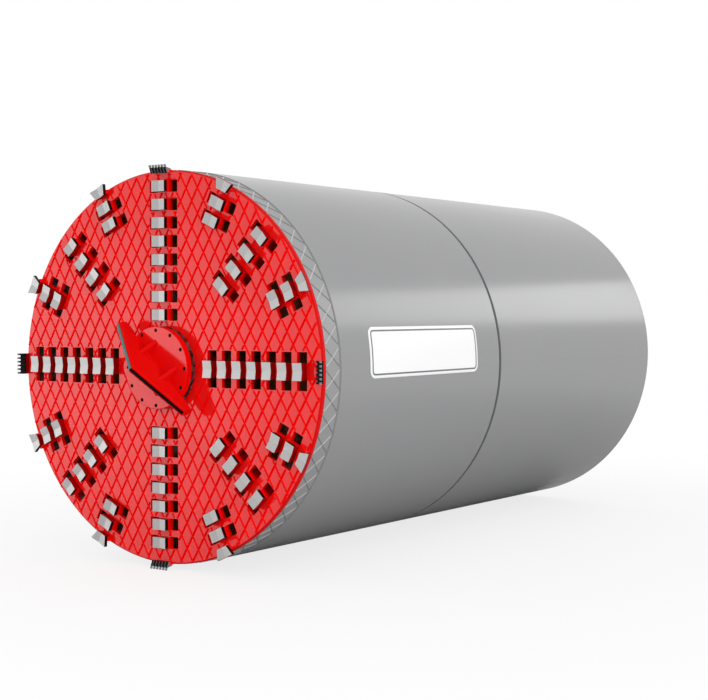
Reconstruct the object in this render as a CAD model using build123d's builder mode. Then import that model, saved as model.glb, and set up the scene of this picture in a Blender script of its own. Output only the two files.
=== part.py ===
"""Slurry pipe-jacking machine: a slotted cutterhead on a two-section steerable shield.

The machine lies along Y. Its face looks towards -Y and +Z is up. The origin is on the machine's axis,
in the thrust face that the first jacking pipe bears on. Millimetres.
"""
import os
from math import cos, radians, sin, sqrt

from build123d import *

# Shield
shield_radius = 1210
shell_wall = 30
shield_length = 4482  # cutter face to tail mouth
seam_distance = 2036  # cutter face to the middle of the steering seam
seam_gap = 30
socket_depth = 120
socket_step = 2  # bore that takes the first jacking pipe's end, over the shell's
thrust_ring_length = 60
thrust_ring_depth = 190
seat_clearance = 0.3  # curved pieces that seat on one another
fit_clearance = 0.05  # running fits

# Cutterhead drum
head_step = 5  # shield's rim over the drum's
head_depth = 165
head_gap = 8  # running gap to the front shell
face_thickness = 30
face_chamfer = 9
skirt_wall = 30
hub_radius = 230
hub_length = 190
spoke_thickness = 60
spoke_depth = 100
shaft_radius = 150
shaft_end_room = 20

# Cutting bits, their seats and the muck slots on both sides of each
bit_width = 102
bit_length = 66
bit_thickness = 27
bit_valley = 7
seat_width = 95
seat_length = 67
seat_height = 25
seat_overhang = 1  # seat over the slots beside it
slot_width = 65.5
slot_length = 73
bit_pitch = 112
diagonal_pitch = 136
row_margin = 80  # rim to the middle of a row's last bit, at least

# Rows that start at the centre flange: name, angle seen from the front, flange's edge to the first bit
ARM_ROWS = (
    ("up", 90, 71),
    ("left", 180, 160),
    ("down", 270, 148),
    ("right", 0, 132),
)
# Rows between the arms: name, angle, rim to the first bit
DIAGONAL_ROWS = (
    ("upper_right", 45, 510),
    ("upper_left", 135, 549),
    ("lower_left", 225, 510),
    ("lower_right", 315, 549),
)
RIM_ANGLES = (25, 65, 115, 155, 205, 245, 295, 335)
rim_row_depth = 230  # rim to the first bit of a rim pair

# Gauge cutters and overcutters at the rim
gauge_bite = 39  # rim to the cutter's inner end
gauge_reach = 24  # rim to its outer end
gauge_inner_width = 74
gauge_outer_width = 124
gauge_thickness = 26
gauge_seat_inset = 8
overcutter_width = 133
overcutter_bite = 18
overcutter_reach = 14
overcutter_tip_height = 46
overcutter_toe_height = 32
overcutter_heel_height = 3
overcutter_undercut = 8
rib_count = 6
rib_height = 8
rib_width = 12
rib_overhang = 18

# Centre cutter
flange_radius = 252
flange_height = 74
flange_bevel = 4
flange_bolt_count = 12
flange_bolt_inset = 19  # edge of the flange's top to the bolt circle
bolt_pocket_radius = 12
bolt_pocket_depth = 14
blade_angle = -45
blade_thickness = 48
blade_tip_height = 303
blade_reach = 120  # flange's edge to the front corners
blade_shoulder_height = 132
blade_taper = 20  # front corners to the back corners
blade_corner_rise = 9  # back corners' cut
blade_back_height = 62
blade_root_gap = 11  # flange's edge to the notches in the blade
edge_depth = 8
edge_width = 17
edge_bevel = 8  # blade's rims beside the hard strips
gusset_place = 112
gusset_reach = 99
gusset_height = 87
gusset_thickness = 22

# Front section and main drive
bulkhead_distance = 620  # cutter face to the bulkhead
bulkhead_thickness = 40
cone_wall = 30
cone_setback = 97  # front shell's edge to the cone
cone_fall = 275
housing_radius = 330
housing_setback = 90  # hub to the bearing housing
housing_back = 52  # wall behind the shaft's end
gear_case_radius = 470
gear_case_length = 240
motor_count = 4
motor_circle = 290
motor_radius = 120
motor_length = 420
reducer_radius = 105
reducer_length = 330
motor_flange_radius = 145
motor_flange_thickness = 25

# Steering joint
pivot_setback = 60  # rear shell's front edge to the pivot
sleeve_gap = 40  # sleeve to the shells
sleeve_wall = 30
sleeve_setback = 60  # front shell's rear edge to the sleeve's flange
sleeve_flange = 40
sleeve_overrun = 30
bead_height = 10
bead_half_width = 25
seal_half_width = 30
cylinder_inset = 90  # sleeve's inside to the cylinders' circle
cylinder_angles = (90, 180, 270, 0)
barrel_radius = 75
barrel_length = 400
foot_step = 25  # barrel's foot over the barrel
foot_thickness = 20
rod_radius = 45
rod_stretch = 190  # pin to the barrel's mouth
rod_hidden = 300  # length of rod inside the barrel
eye_radius = 60
eye_width = 60
eye_neck = 20  # edge of the eye to the round rod
pin_radius = 25
pin_clearance = 2
lug_thickness = 25
lug_clearance = 2
frame_thickness = 40

# Slurry lines
line_inset = 373  # inside of the shells to the lines' circle
line_angle = 42  # below the horizontal
line_radius = 84
line_wall = 6
line_flange_thickness = 24
line_bolt_count = 8
line_bolt_radius = 11
line_bolt_place = 36  # outside of the line to the bolt circle
line_flange_margin = 22  # bolt circle to the flange's edge
line_setback = 90  # rear flanges to the thrust face
bell_clearance = 20
bell_length = 100
bell_room = 30
saddle_width = 200
saddle_length = 60
saddle_setback = 300

# Rear equipment
deck_rise = 300  # bottom of the shell's inside to the deck
deck_thickness = 15
line_passage = 25  # lines to the tank and the cabinet
equipment_gap = 300  # steering frame to the equipment
equipment_setback = 340  # equipment to the thrust ring
tank_overlap = 30  # tank's inner side past the middle
tank_height = 420
pump_radius = 150
pump_length = 520
pump_base = 40
cabinet_place = 110  # middle to the cabinet
cabinet_room = 80  # cabinet to the passage beside the line
cabinet_height = 900
cabinet_setback = 100  # tank's rear end to the cabinet's
target_size = 220
target_drop = 320  # frame's inner edge to the target's middle
post_width = 60

# Stations along the machine
tail_mouth = socket_depth
face = tail_mouth - shield_length
face_back = face + face_thickness
head_rear = face + head_depth
front_start = head_rear + head_gap
front_end = face + seam_distance - seam_gap / 2
rear_start = front_end + seam_gap
pivot = rear_start + pivot_setback
bulkhead_front = face + bulkhead_distance
bulkhead_rear = bulkhead_front + bulkhead_thickness
shell_inner = shield_radius - shell_wall
head_radius = shield_radius - head_step
shell_seat = shell_inner - seat_clearance
skirt_inner = head_radius - skirt_wall
barrel_mouth = pivot + rod_stretch
frame_front = barrel_mouth + barrel_length + foot_thickness
frame_rear = frame_front + frame_thickness
row_end = head_radius - row_margin


def across(y):
    """The plane across the machine at station y, seen from the front: x is X and y is Z."""
    return Plane.XZ.offset(-y)


def disc(y0, y1, outer, inner=0):
    """A ring or disc about the machine's axis, from station y0 to station y1."""
    with BuildPart() as made:
        with BuildSketch(across(y0)):
            Circle(outer)
            if inner:
                Circle(inner, mode=Mode.SUBTRACT)
        extrude(amount=y0 - y1)
    return made


def turned(*points):
    """A body of revolution about the machine's axis, from an outline of (radius, station) points."""
    with BuildPart() as made:
        with BuildSketch(Plane.XY):
            with BuildLine():
                Polyline(*points, close=True)
            make_face()
        revolve(axis=Axis.Y)
    return made


def profile_block(plane, length, *points):
    """A prism of one outline, from its plane along the plane's normal."""
    with BuildPart() as made:
        with BuildSketch(plane):
            with BuildLine():
                Polyline(*points, close=True)
            make_face()
        extrude(amount=length)
    return made


def spot(radius, angle, height=0):
    """A place on the face: x points outwards and z to the front."""
    return Location((radius * cos(radians(angle)), radius * sin(radians(angle)), height), (0, 0, angle))


def row_spots(angle, first, pitch):
    """Places of a row's bits, from its first radius out to the last bit that the rim leaves room for."""
    count = int((row_end - first) / pitch) + 1
    return [spot(first + pitch * i, angle) for i in range(count)]


def copies(piece, y, places):
    """Copies of a piece, set out on the plane across station y."""
    with BuildPart() as made:
        with Locations(*[across(y).location * place for place in places]):
            add(piece.part)
    return made


def save(made, node):
    made.part.label = node
    export_step(made.part, f"parts/{node}.step")


os.makedirs("parts", exist_ok=True)

# Seats that carry the cutters, in a frame whose x points outwards and whose z is the face's normal
with BuildPart() as bit_seat:
    Box(seat_length, seat_width, seat_height, align=(Align.CENTER, Align.CENTER, Align.MIN))

gauge_inner_radius = head_radius - gauge_bite
gauge_outer_radius = head_radius + gauge_reach
gauge_seat = profile_block(
    Plane.XY,
    seat_height,
    (gauge_inner_radius + gauge_seat_inset, -gauge_inner_width / 2),
    (gauge_inner_radius + gauge_seat_inset, gauge_inner_width / 2),
    (head_radius - face_chamfer, gauge_outer_width / 2 - gauge_seat_inset),
    (head_radius - face_chamfer, -gauge_outer_width / 2 + gauge_seat_inset),
)

overcutter_seat_radius = head_radius - overcutter_bite
overcutter_tip_radius = head_radius + overcutter_reach
side_plane = Plane.XZ.offset(-overcutter_width / 2)
overcutter_seat = profile_block(
    side_plane,
    overcutter_width,
    (overcutter_seat_radius, 0),
    (overcutter_seat_radius, seat_height),
    (head_radius, seat_height),
    (head_radius, -face_chamfer),
    (head_radius - face_chamfer, -face_chamfer),
    (head_radius - face_chamfer, 0),
)

# Face plate: a slotted disc with a chamfered rim and the cutters' seats welded on
arm_rows = {name: row_spots(angle, flange_radius + gap, bit_pitch) for name, angle, gap in ARM_ROWS}
diagonal_rows = {
    name: row_spots(angle, head_radius - depth, diagonal_pitch) for name, angle, depth in DIAGONAL_ROWS
}
rim_rows = [row_spots(angle, head_radius - rim_row_depth, bit_pitch) for angle in RIM_ANGLES]
all_rows = [*arm_rows.values(), *diagonal_rows.values(), *rim_rows]
bit_spots = [place for row in all_rows for place in row]
rim_spots = [spot(0, angle) for angle in RIM_ANGLES]
arm_spots = [spot(0, angle) for _, angle, _ in ARM_ROWS]
slot_middle = (seat_width + slot_width) / 2 - seat_overhang

with BuildPart() as face_plate:
    with BuildSketch(Plane.XY):
        with BuildLine():
            Polyline(
                (0, face),
                (head_radius - face_chamfer, face),
                (head_radius, face + face_chamfer),
                (head_radius, face_back),
                (0, face_back),
                close=True,
            )
        make_face()
    revolve(axis=Axis.Y)
    with BuildSketch(across(face)):
        with Locations(*[place * Location((0, side * slot_middle)) for place in bit_spots for side in (-1, 1)]):
            Rectangle(slot_length, slot_width)
    extrude(amount=-face_thickness, mode=Mode.SUBTRACT)
    with Locations(*[across(face).location * place for place in bit_spots]):
        add(bit_seat.part)
    with Locations(*[across(face).location * place for place in rim_spots]):
        add(gauge_seat.part)
    with Locations(*[across(face).location * place for place in arm_spots]):
        add(overcutter_seat.part)
save(face_plate, "face_plate")

# Drum behind the face: skirt, hub with four spokes, and the drive shaft
save(disc(face_back, head_rear, head_radius, skirt_inner), "head_skirt")

spoke_length = 2 * sqrt((skirt_inner - seat_clearance) ** 2 - (spoke_thickness / 2) ** 2)
with BuildPart() as head_spider:
    with BuildSketch(across(face_back)):
        Circle(hub_radius)
    extrude(amount=-hub_length)
    with BuildSketch(across(face_back)):
        for angle in (45, 135):
            Rectangle(spoke_length, spoke_thickness, rotation=angle)
    extrude(amount=-spoke_depth)
save(head_spider, "head_spider")

shaft_start = face_back + hub_length
bore_end = bulkhead_rear - housing_back
save(disc(shaft_start, bore_end - shaft_end_room, shaft_radius), "drive_shaft")

# Bits: blocks with a shallow valley across the cutting face, one row to a node
bit = profile_block(
    Plane.YZ.offset(-bit_length / 2),
    bit_length,
    (-bit_width / 2, 0),
    (bit_width / 2, 0),
    (bit_width / 2, bit_thickness),
    (0, bit_thickness - bit_valley),
    (-bit_width / 2, bit_thickness),
)
for name, places in {**arm_rows, **diagonal_rows}.items():
    save(copies(bit, face - seat_height, places), f"bits_{name}")
save(copies(bit, face - seat_height, [place for row in rim_rows for place in row]), "bits_rim")

# Gauge cutters: plates that widen outwards, with the same valley as a bit
with BuildPart() as gauge_cutter:
    with BuildSketch(Plane.YZ.offset(gauge_inner_radius)):
        with BuildLine():
            Polyline(
                (-gauge_outer_width / 2, 0),
                (gauge_outer_width / 2, 0),
                (gauge_outer_width / 2, gauge_thickness),
                (0, gauge_thickness - bit_valley),
                (-gauge_outer_width / 2, gauge_thickness),
                close=True,
            )
        make_face()
    extrude(amount=gauge_outer_radius - gauge_inner_radius)
    with BuildSketch(Plane.XY):
        with BuildLine():
            Polyline(
                (gauge_inner_radius, -gauge_inner_width / 2),
                (gauge_inner_radius, gauge_inner_width / 2),
                (gauge_outer_radius, gauge_outer_width / 2),
                (gauge_outer_radius, -gauge_outer_width / 2),
                close=True,
            )
        make_face()
    extrude(amount=gauge_thickness, mode=Mode.INTERSECT)
save(copies(gauge_cutter, face - seat_height, rim_spots), "gauge_cutters")

# Overcutters: leaning blocks with ribs that run out past the rim
lean_run = overcutter_tip_radius - overcutter_seat_radius
lean_rise = overcutter_tip_height - overcutter_toe_height
lean_length = sqrt(lean_run**2 + lean_rise**2)
along = (lean_run / lean_length, lean_rise / lean_length)
toe = (overcutter_seat_radius, overcutter_toe_height)
tip = (overcutter_tip_radius, overcutter_tip_height)
rib_tip = (tip[0] + along[0] * rib_overhang, tip[1] + along[1] * rib_overhang)
rib_rise = (-along[1] * rib_height, along[0] * rib_height)
rib_pitch = (overcutter_width - rib_width) / (rib_count - 1)

with BuildPart() as overcutter:
    with BuildSketch(side_plane):
        with BuildLine():
            Polyline(
                (overcutter_seat_radius, seat_height),
                toe,
                tip,
                (overcutter_tip_radius - overcutter_undercut, overcutter_heel_height),
                (head_radius, overcutter_heel_height),
                (head_radius, seat_height),
                close=True,
            )
        make_face()
    extrude(amount=overcutter_width)
    for i in range(rib_count):
        with BuildSketch(side_plane.offset(i * rib_pitch)):
            with BuildLine():
                Polyline(
                    toe,
                    rib_tip,
                    (rib_tip[0] + rib_rise[0], rib_tip[1] + rib_rise[1]),
                    (toe[0] + rib_rise[0], toe[1] + rib_rise[1]),
                    close=True,
                )
            make_face()
        extrude(amount=rib_width)
save(copies(overcutter, face, arm_spots), "overcutters")

# Centre cutter: a bevelled flange, and a fishtail blade with gussets and hard edge strips
flange_top_radius = flange_radius - flange_bevel
with BuildPart() as center_flange:
    with BuildSketch(Plane.XY):
        with BuildLine():
            Polyline(
                (0, face),
                (flange_radius, face),
                (flange_radius, face - flange_height + flange_bevel),
                (flange_top_radius, face - flange_height),
                (0, face - flange_height),
                close=True,
            )
        make_face()
    revolve(axis=Axis.Y)
    with BuildSketch(across(face - flange_height)):
        with PolarLocations(flange_top_radius - flange_bolt_inset, flange_bolt_count):
            Circle(bolt_pocket_radius)
    extrude(amount=-bolt_pocket_depth, mode=Mode.SUBTRACT)
save(center_flange, "center_flange")

blade_shoulder = flange_radius + blade_reach
blade_back = blade_shoulder - blade_taper
blade_root = flange_radius + blade_root_gap
blade_run = (cos(radians(blade_angle)), 0, sin(radians(blade_angle)))
blade_normal = (sin(radians(blade_angle)), 0, -cos(radians(blade_angle)))
gusset_run = (-blade_normal[0], 0, -blade_normal[2])
blade_plane = Plane(origin=(0, face, 0), x_dir=blade_run, z_dir=blade_normal)
with BuildPart() as fishtail_blade:
    with BuildSketch(blade_plane):
        with BuildLine():
            Polyline(
                (0, blade_tip_height - edge_depth),
                (blade_shoulder, blade_shoulder_height - edge_depth),
                (blade_shoulder, blade_back_height + blade_corner_rise),
                (blade_back, blade_back_height),
                (blade_root, blade_back_height),
                (blade_root, flange_height),
                (-blade_root, flange_height),
                (-blade_root, blade_back_height),
                (-blade_back, blade_back_height),
                (-blade_shoulder, blade_back_height + blade_corner_rise),
                (-blade_shoulder, blade_shoulder_height - edge_depth),
                close=True,
            )
        make_face()
    extrude(amount=blade_thickness / 2, both=True)
    leading = fishtail_blade.faces().filter_by(lambda made: made.normal_at().Y < -0.5)
    rims = leading.edges().filter_by(lambda edge: abs(edge.tangent_at(0).dot(blade_plane.z_dir)) < 0.1)
    chamfer(rims, edge_bevel)
    for place in (-gusset_place, gusset_place):
        gusset_plane = Plane(
            origin=blade_plane.from_local_coords((place - gusset_thickness / 2, flange_height, 0)),
            x_dir=gusset_run,
            z_dir=blade_run,
        )
        with BuildSketch(gusset_plane):
            with BuildLine():
                Polyline(
                    (gusset_reach + blade_thickness / 2, 0),
                    (0, gusset_height),
                    (-gusset_reach - blade_thickness / 2, 0),
                    close=True,
                )
            make_face()
        extrude(amount=gusset_thickness)
save(fishtail_blade, "fishtail_blade")

with BuildPart() as blade_edges:
    with BuildSketch(blade_plane):
        with BuildLine():
            Polyline(
                (0, blade_tip_height),
                (blade_shoulder, blade_shoulder_height),
                (blade_shoulder, blade_shoulder_height - edge_depth),
                (0, blade_tip_height - edge_depth),
                (-blade_shoulder, blade_shoulder_height - edge_depth),
                (-blade_shoulder, blade_shoulder_height),
                close=True,
            )
        make_face()
    extrude(amount=edge_width / 2, both=True)
save(blade_edges, "blade_edges")

# Front section: shell, bulkhead and crusher cone
line_circle = shell_inner - line_inset
line_side = line_circle * cos(radians(line_angle))
line_height = -line_circle * sin(radians(line_angle))
save(disc(front_start, front_end, shield_radius, shell_inner), "front_shell")

with BuildPart() as bulkhead:
    with BuildSketch(across(bulkhead_front)):
        Circle(shell_seat)
        Circle(housing_radius + seat_clearance, mode=Mode.SUBTRACT)
        with Locations((-line_side, line_height), (line_side, line_height)):
            Circle(line_radius - line_wall, mode=Mode.SUBTRACT)
    extrude(amount=-bulkhead_thickness)
save(bulkhead, "bulkhead")

cone_front = front_start + cone_setback
cone_small_radius = shell_inner - cone_fall
save(
    turned(
        (shell_seat, cone_front),
        (shell_seat, cone_front + cone_wall),
        (cone_small_radius + cone_wall, bulkhead_front),
        (cone_small_radius, bulkhead_front),
        (shell_seat - cone_wall, cone_front),
    ),
    "crusher_cone",
)

# Main drive: bearing housing, gear case and four geared motors
housing_front = shaft_start + housing_setback
save(
    turned(
        (shaft_radius + fit_clearance, housing_front),
        (housing_radius, housing_front),
        (housing_radius, bulkhead_rear),
        (0, bulkhead_rear),
        (0, bore_end),
        (shaft_radius + fit_clearance, bore_end),
    ),
    "bearing_housing",
)
gear_case_rear = bulkhead_rear + gear_case_length
save(disc(bulkhead_rear, gear_case_rear, gear_case_radius), "gear_case")

reducer_front = gear_case_rear + motor_flange_thickness
motor_front = reducer_front + reducer_length
with BuildPart() as drive_motors:
    for station, length, radius in (
        (gear_case_rear, motor_flange_thickness, motor_flange_radius),
        (reducer_front, reducer_length, reducer_radius),
        (motor_front, motor_length, motor_radius),
    ):
        with BuildSketch(across(station)):
            with PolarLocations(motor_circle, motor_count, start_angle=45):
                Circle(radius)
        extrude(amount=-length)
save(drive_motors, "drive_motors")

# Steering joint: the front section's sleeve runs in a floating seal ring, which runs in the rear shell
sleeve_start = front_end - sleeve_setback
sleeve_face = sleeve_start + sleeve_flange
sleeve_end = pivot + seal_half_width + sleeve_overrun
sleeve_radius = shell_inner - sleeve_gap
sleeve_inner = sleeve_radius - sleeve_wall
bead_radius = sleeve_radius + bead_height
cylinder_circle = sleeve_inner - cylinder_inset
bead_edge = sqrt(bead_radius**2 - bead_half_width**2)
lug_offset = eye_width / 2 + lug_clearance + lug_thickness / 2
lug_tip = cylinder_circle - eye_radius
lug_side = lug_offset + lug_thickness / 2
lug_length = sqrt((sleeve_inner - seat_clearance) ** 2 - lug_side**2) - lug_tip

with BuildPart() as eye_pin:
    Cylinder(pin_radius, 2 * lug_side, rotation=(90, 0, 0))

with BuildPart() as steering_sleeve:
    with BuildSketch(Plane.XY):
        with BuildLine():
            Polyline(
                (bead_edge, pivot - bead_half_width),
                (sleeve_radius, pivot - bead_half_width),
                (sleeve_radius, sleeve_face),
                (shell_seat, sleeve_face),
                (shell_seat, sleeve_start),
                (sleeve_inner, sleeve_start),
                (sleeve_inner, sleeve_end),
                (sleeve_radius, sleeve_end),
                (sleeve_radius, pivot + bead_half_width),
                (bead_edge, pivot + bead_half_width),
            )
            ThreePointArc(
                (bead_edge, pivot + bead_half_width), (bead_radius, pivot), (bead_edge, pivot - bead_half_width)
            )
        make_face()
    revolve(axis=Axis.Y)
save(steering_sleeve, "steering_sleeve")

with BuildPart() as steering_lugs:
    with BuildSketch(across(pivot - eye_radius)):
        for angle in cylinder_angles:
            lug_middle = spot(lug_tip + lug_length / 2, angle)
            with Locations(lug_middle * Location((0, -lug_offset)), lug_middle * Location((0, lug_offset))):
                Rectangle(lug_length, lug_thickness)
    extrude(amount=-2 * eye_radius)
    with Locations(*[across(pivot).location * spot(cylinder_circle, angle) for angle in cylinder_angles]):
        add(eye_pin.part)
save(steering_lugs, "steering_lugs")

seal_edge = sqrt(shell_seat**2 - seal_half_width**2)
seal_inner = bead_radius + seat_clearance
with BuildPart() as seal_ring:
    with BuildSketch(Plane.XY):
        with BuildLine():
            Polyline(
                (seal_edge, pivot - seal_half_width),
                (seal_inner, pivot - seal_half_width),
                (seal_inner, pivot + seal_half_width),
                (seal_edge, pivot + seal_half_width),
            )
            ThreePointArc(
                (seal_edge, pivot + seal_half_width), (shell_seat, pivot), (seal_edge, pivot - seal_half_width)
            )
        make_face()
    revolve(axis=Axis.Y)
save(seal_ring, "seal_ring")

# Steering cylinders: rods with drilled eyes, in barrels bolted to a ring frame of the rear shell
rod_start = eye_radius + eye_neck
with BuildPart() as steering_rod:
    with BuildSketch(Plane.XZ.offset(-eye_width / 2)):
        Circle(eye_radius)
        Rectangle(2 * rod_radius, rod_start, align=(Align.CENTER, Align.MAX))
        Circle(pin_radius + pin_clearance, mode=Mode.SUBTRACT)
    extrude(amount=eye_width)
    with BuildSketch(Plane.XY.offset(-rod_start)):
        Circle(rod_radius)
    extrude(amount=-(rod_stretch + rod_hidden - rod_start))
rod_names = ("top", "left", "bottom", "right")
for name, angle in zip(rod_names, cylinder_angles):
    save(copies(steering_rod, pivot, [spot(cylinder_circle, angle)]), f"steering_rod_{name}")

foot_radius = barrel_radius + foot_step
frame_inner = cylinder_circle - foot_radius
with BuildPart() as steering_barrels:
    barrel_spots = [spot(cylinder_circle, angle) for angle in cylinder_angles]
    for station, length, radius in (
        (barrel_mouth, barrel_length, barrel_radius),
        (frame_front - foot_thickness, foot_thickness, foot_radius),
    ):
        with BuildSketch(across(station)):
            with Locations(*barrel_spots):
                Circle(radius)
                Circle(rod_radius + fit_clearance, mode=Mode.SUBTRACT)
        extrude(amount=-length)
save(steering_barrels, "steering_barrels")
save(disc(frame_front, frame_rear, shell_seat, frame_inner), "steering_frame")

# Rear section: shell and the thrust ring that the pipe string bears on
save(
    turned(
        (shell_inner, rear_start),
        (shield_radius, rear_start),
        (shield_radius, tail_mouth),
        (shell_inner + socket_step, tail_mouth),
        (shell_inner + socket_step, 0),
        (shell_inner, 0),
    ),
    "rear_shell",
)
save(disc(-thrust_ring_length, 0, shell_seat, shell_inner - thrust_ring_depth), "thrust_ring")

# Slurry lines: feed on the left, discharge on the right, each with a slip joint at the pivot
line_bolt_circle = line_radius + line_bolt_place
line_flange_radius = line_bolt_circle + line_flange_margin
bell_inner = line_radius + bell_clearance
bell_rear = pivot + bell_length / 2
line_inner = line_radius - line_wall
line_end = -line_setback
for name, side in (("feed", -1), ("discharge", 1)):
    with BuildPart() as front_line:
        for station, end, outer in (
            (bulkhead_rear, bulkhead_rear + line_flange_thickness, line_flange_radius),
            (bulkhead_rear, bell_rear - bell_room, line_radius),
        ):
            with BuildSketch(across(station)):
                with Locations((side * line_side, line_height)):
                    Circle(outer)
            extrude(amount=station - end)
        with BuildSketch(across(bulkhead_rear)):
            with Locations((side * line_side, line_height)):
                Circle(line_inner)
        extrude(amount=bulkhead_rear - bell_rear, mode=Mode.SUBTRACT)
    save(front_line, f"{name}_line_front")

    with BuildPart() as rear_line:
        for station, end, outer in (
            (pivot - bell_length / 2, bell_rear + line_wall, bell_inner + line_wall),
            (bell_rear, line_end, line_radius),
            (line_end - line_flange_thickness, line_end, line_flange_radius),
        ):
            with BuildSketch(across(station)):
                with Locations((side * line_side, line_height)):
                    Circle(outer)
            extrude(amount=station - end)
        for station, end, inner in (
            (pivot - bell_length / 2, bell_rear, bell_inner),
            (bell_rear, line_end, line_inner),
        ):
            with BuildSketch(across(station)):
                with Locations((side * line_side, line_height)):
                    Circle(inner)
            extrude(amount=station - end, mode=Mode.SUBTRACT)
        with BuildSketch(across(line_end)):
            with Locations((side * line_side, line_height)):
                with PolarLocations(line_bolt_circle, line_bolt_count):
                    Circle(line_bolt_radius)
        extrude(amount=line_flange_thickness, mode=Mode.SUBTRACT)
    save(rear_line, f"{name}_line_rear")

deck_height = deck_rise - shell_inner
saddle_height = line_height - deck_height
with BuildPart() as line_saddles:
    for station in (frame_rear + saddle_setback, line_end - saddle_setback):
        with BuildSketch(across(station)):
            with Locations((-line_side, deck_height), (line_side, deck_height)):
                Rectangle(saddle_width, saddle_height, align=(Align.CENTER, Align.MIN))
            with Locations((-line_side, line_height), (line_side, line_height)):
                Circle(line_radius + seat_clearance, mode=Mode.SUBTRACT)
        extrude(amount=-saddle_length)
save(line_saddles, "line_saddles")

# Rear equipment: deck, hydraulic tank with its pump, control cabinet and laser target
deck_bottom = deck_height - deck_thickness
deck_half_width = sqrt(shell_seat**2 - deck_bottom**2)
deck_length = -thrust_ring_length - frame_rear
with BuildPart() as deck:
    with Locations((0, frame_rear + deck_length / 2, deck_bottom)):
        Box(2 * deck_half_width, deck_length, deck_thickness, align=(Align.CENTER, Align.CENTER, Align.MIN))
save(deck, "deck")

equipment_start = frame_rear + equipment_gap
equipment_side = line_side - line_radius - line_passage
tank_width = equipment_side + tank_overlap
tank_side = tank_overlap - tank_width / 2
tank_length = -thrust_ring_length - equipment_setback - equipment_start
with BuildPart() as oil_tank:
    with Locations((tank_side, equipment_start, deck_height)):
        Box(tank_width, tank_length, tank_height, align=(Align.CENTER, Align.MIN, Align.MIN))
save(oil_tank, "oil_tank")

tank_top = deck_height + tank_height
with BuildPart() as pump_motor:
    with BuildSketch(across(equipment_start + (tank_length - pump_length) / 2)):
        with Locations((tank_side, tank_top + pump_base + pump_radius)):
            Circle(pump_radius)
        with Locations((tank_side, tank_top)):
            Rectangle(2 * pump_radius, pump_base + pump_radius, align=(Align.CENTER, Align.MIN))
    extrude(amount=-pump_length)
save(pump_motor, "pump_motor")

cabinet_width = equipment_side - cabinet_room - cabinet_place
cabinet_length = tank_length - cabinet_setback
with BuildPart() as control_cabinet:
    with Locations((cabinet_place, equipment_start, deck_height)):
        Box(cabinet_width, cabinet_length, cabinet_height, align=(Align.MIN, Align.MIN, Align.MIN))
save(control_cabinet, "control_cabinet")

post_top = sqrt(frame_inner**2 - (post_width / 2) ** 2)
target_height = frame_inner - target_drop
with BuildPart() as laser_target:
    with BuildSketch(across(frame_front)):
        with Locations((0, target_height)):
            Rectangle(target_size, target_size)
            Rectangle(post_width, post_top - target_height, align=(Align.CENTER, Align.MIN))
    extrude(amount=-frame_thickness)
save(laser_target, "laser_target")
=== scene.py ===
from functools import partialmethod
from math import cos, pi, radians, sin

import bmesh
import bpy
from mathutils import Matrix, Vector


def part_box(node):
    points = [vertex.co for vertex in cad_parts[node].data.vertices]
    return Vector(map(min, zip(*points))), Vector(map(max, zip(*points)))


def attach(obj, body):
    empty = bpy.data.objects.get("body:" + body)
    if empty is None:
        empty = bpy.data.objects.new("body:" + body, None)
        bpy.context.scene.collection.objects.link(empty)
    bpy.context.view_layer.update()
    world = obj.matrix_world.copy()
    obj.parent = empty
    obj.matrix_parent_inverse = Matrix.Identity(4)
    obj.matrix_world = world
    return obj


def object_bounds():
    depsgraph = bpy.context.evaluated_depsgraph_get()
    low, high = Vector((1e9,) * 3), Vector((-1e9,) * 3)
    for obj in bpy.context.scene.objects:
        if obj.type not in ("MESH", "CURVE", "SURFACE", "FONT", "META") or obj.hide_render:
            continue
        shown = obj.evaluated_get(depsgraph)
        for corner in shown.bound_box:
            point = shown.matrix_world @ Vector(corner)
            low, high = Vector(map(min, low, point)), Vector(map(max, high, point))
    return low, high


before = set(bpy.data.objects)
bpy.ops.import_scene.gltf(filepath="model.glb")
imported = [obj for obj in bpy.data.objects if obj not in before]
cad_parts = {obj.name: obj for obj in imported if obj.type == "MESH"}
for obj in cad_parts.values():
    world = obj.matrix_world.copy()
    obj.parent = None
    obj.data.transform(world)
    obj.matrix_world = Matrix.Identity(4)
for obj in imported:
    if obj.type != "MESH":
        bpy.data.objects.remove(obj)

cad_box = [list(corner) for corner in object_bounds()]

# Shield: two rolled and welded steel shells in satin grey paint. The front one carries the drive,
# the rear one takes the thrust of the pipes; both keep the grain of the spray and a little dust.
SHELL_GREY = (0.258, 0.260, 0.265)
SHELL_DUST = (0.33, 0.325, 0.315)


class Field:
    """An output of a node. Sums, products and comparisons of fields make Math nodes."""

    def __init__(self, socket):
        self.socket, self.node, self.tree = socket, socket.node, socket.id_data

    def __getitem__(self, name):
        return Field(self.node.outputs[name])

    def into(self, kind, *others, **settings):
        """A node that takes this field and the others as its inputs in turn."""
        made = put(self.tree, kind, **settings)
        for entry, value in zip(made.node.inputs, (self, *others)):
            fill(entry, value)
        return made

    def math(self, operation, *others, **settings):
        return self.into("ShaderNodeMath", *others, operation=operation, **settings)

    def vector(self, operation, *others):
        return self.into("ShaderNodeVectorMath", *others, operation=operation)

    def mix(self, first, second):
        """The first colour where the field is 0, the second where it is 1."""
        node = put(self.tree, "ShaderNodeMix", data_type="RGBA").node
        for entry, value in zip((0, 6, 7), (self, first, second)):
            fill(node.inputs[entry], value)
        return Field(node.outputs[2])

    __add__ = partialmethod(math, "ADD")
    __sub__ = partialmethod(math, "SUBTRACT")
    __mul__ = partialmethod(math, "MULTIPLY")
    __truediv__ = partialmethod(math, "DIVIDE")
    __mod__ = partialmethod(math, "FLOORED_MODULO")
    __gt__ = partialmethod(math, "GREATER_THAN")
    __lt__ = partialmethod(math, "LESS_THAN")
    __abs__ = partialmethod(math, "ABSOLUTE")


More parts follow.
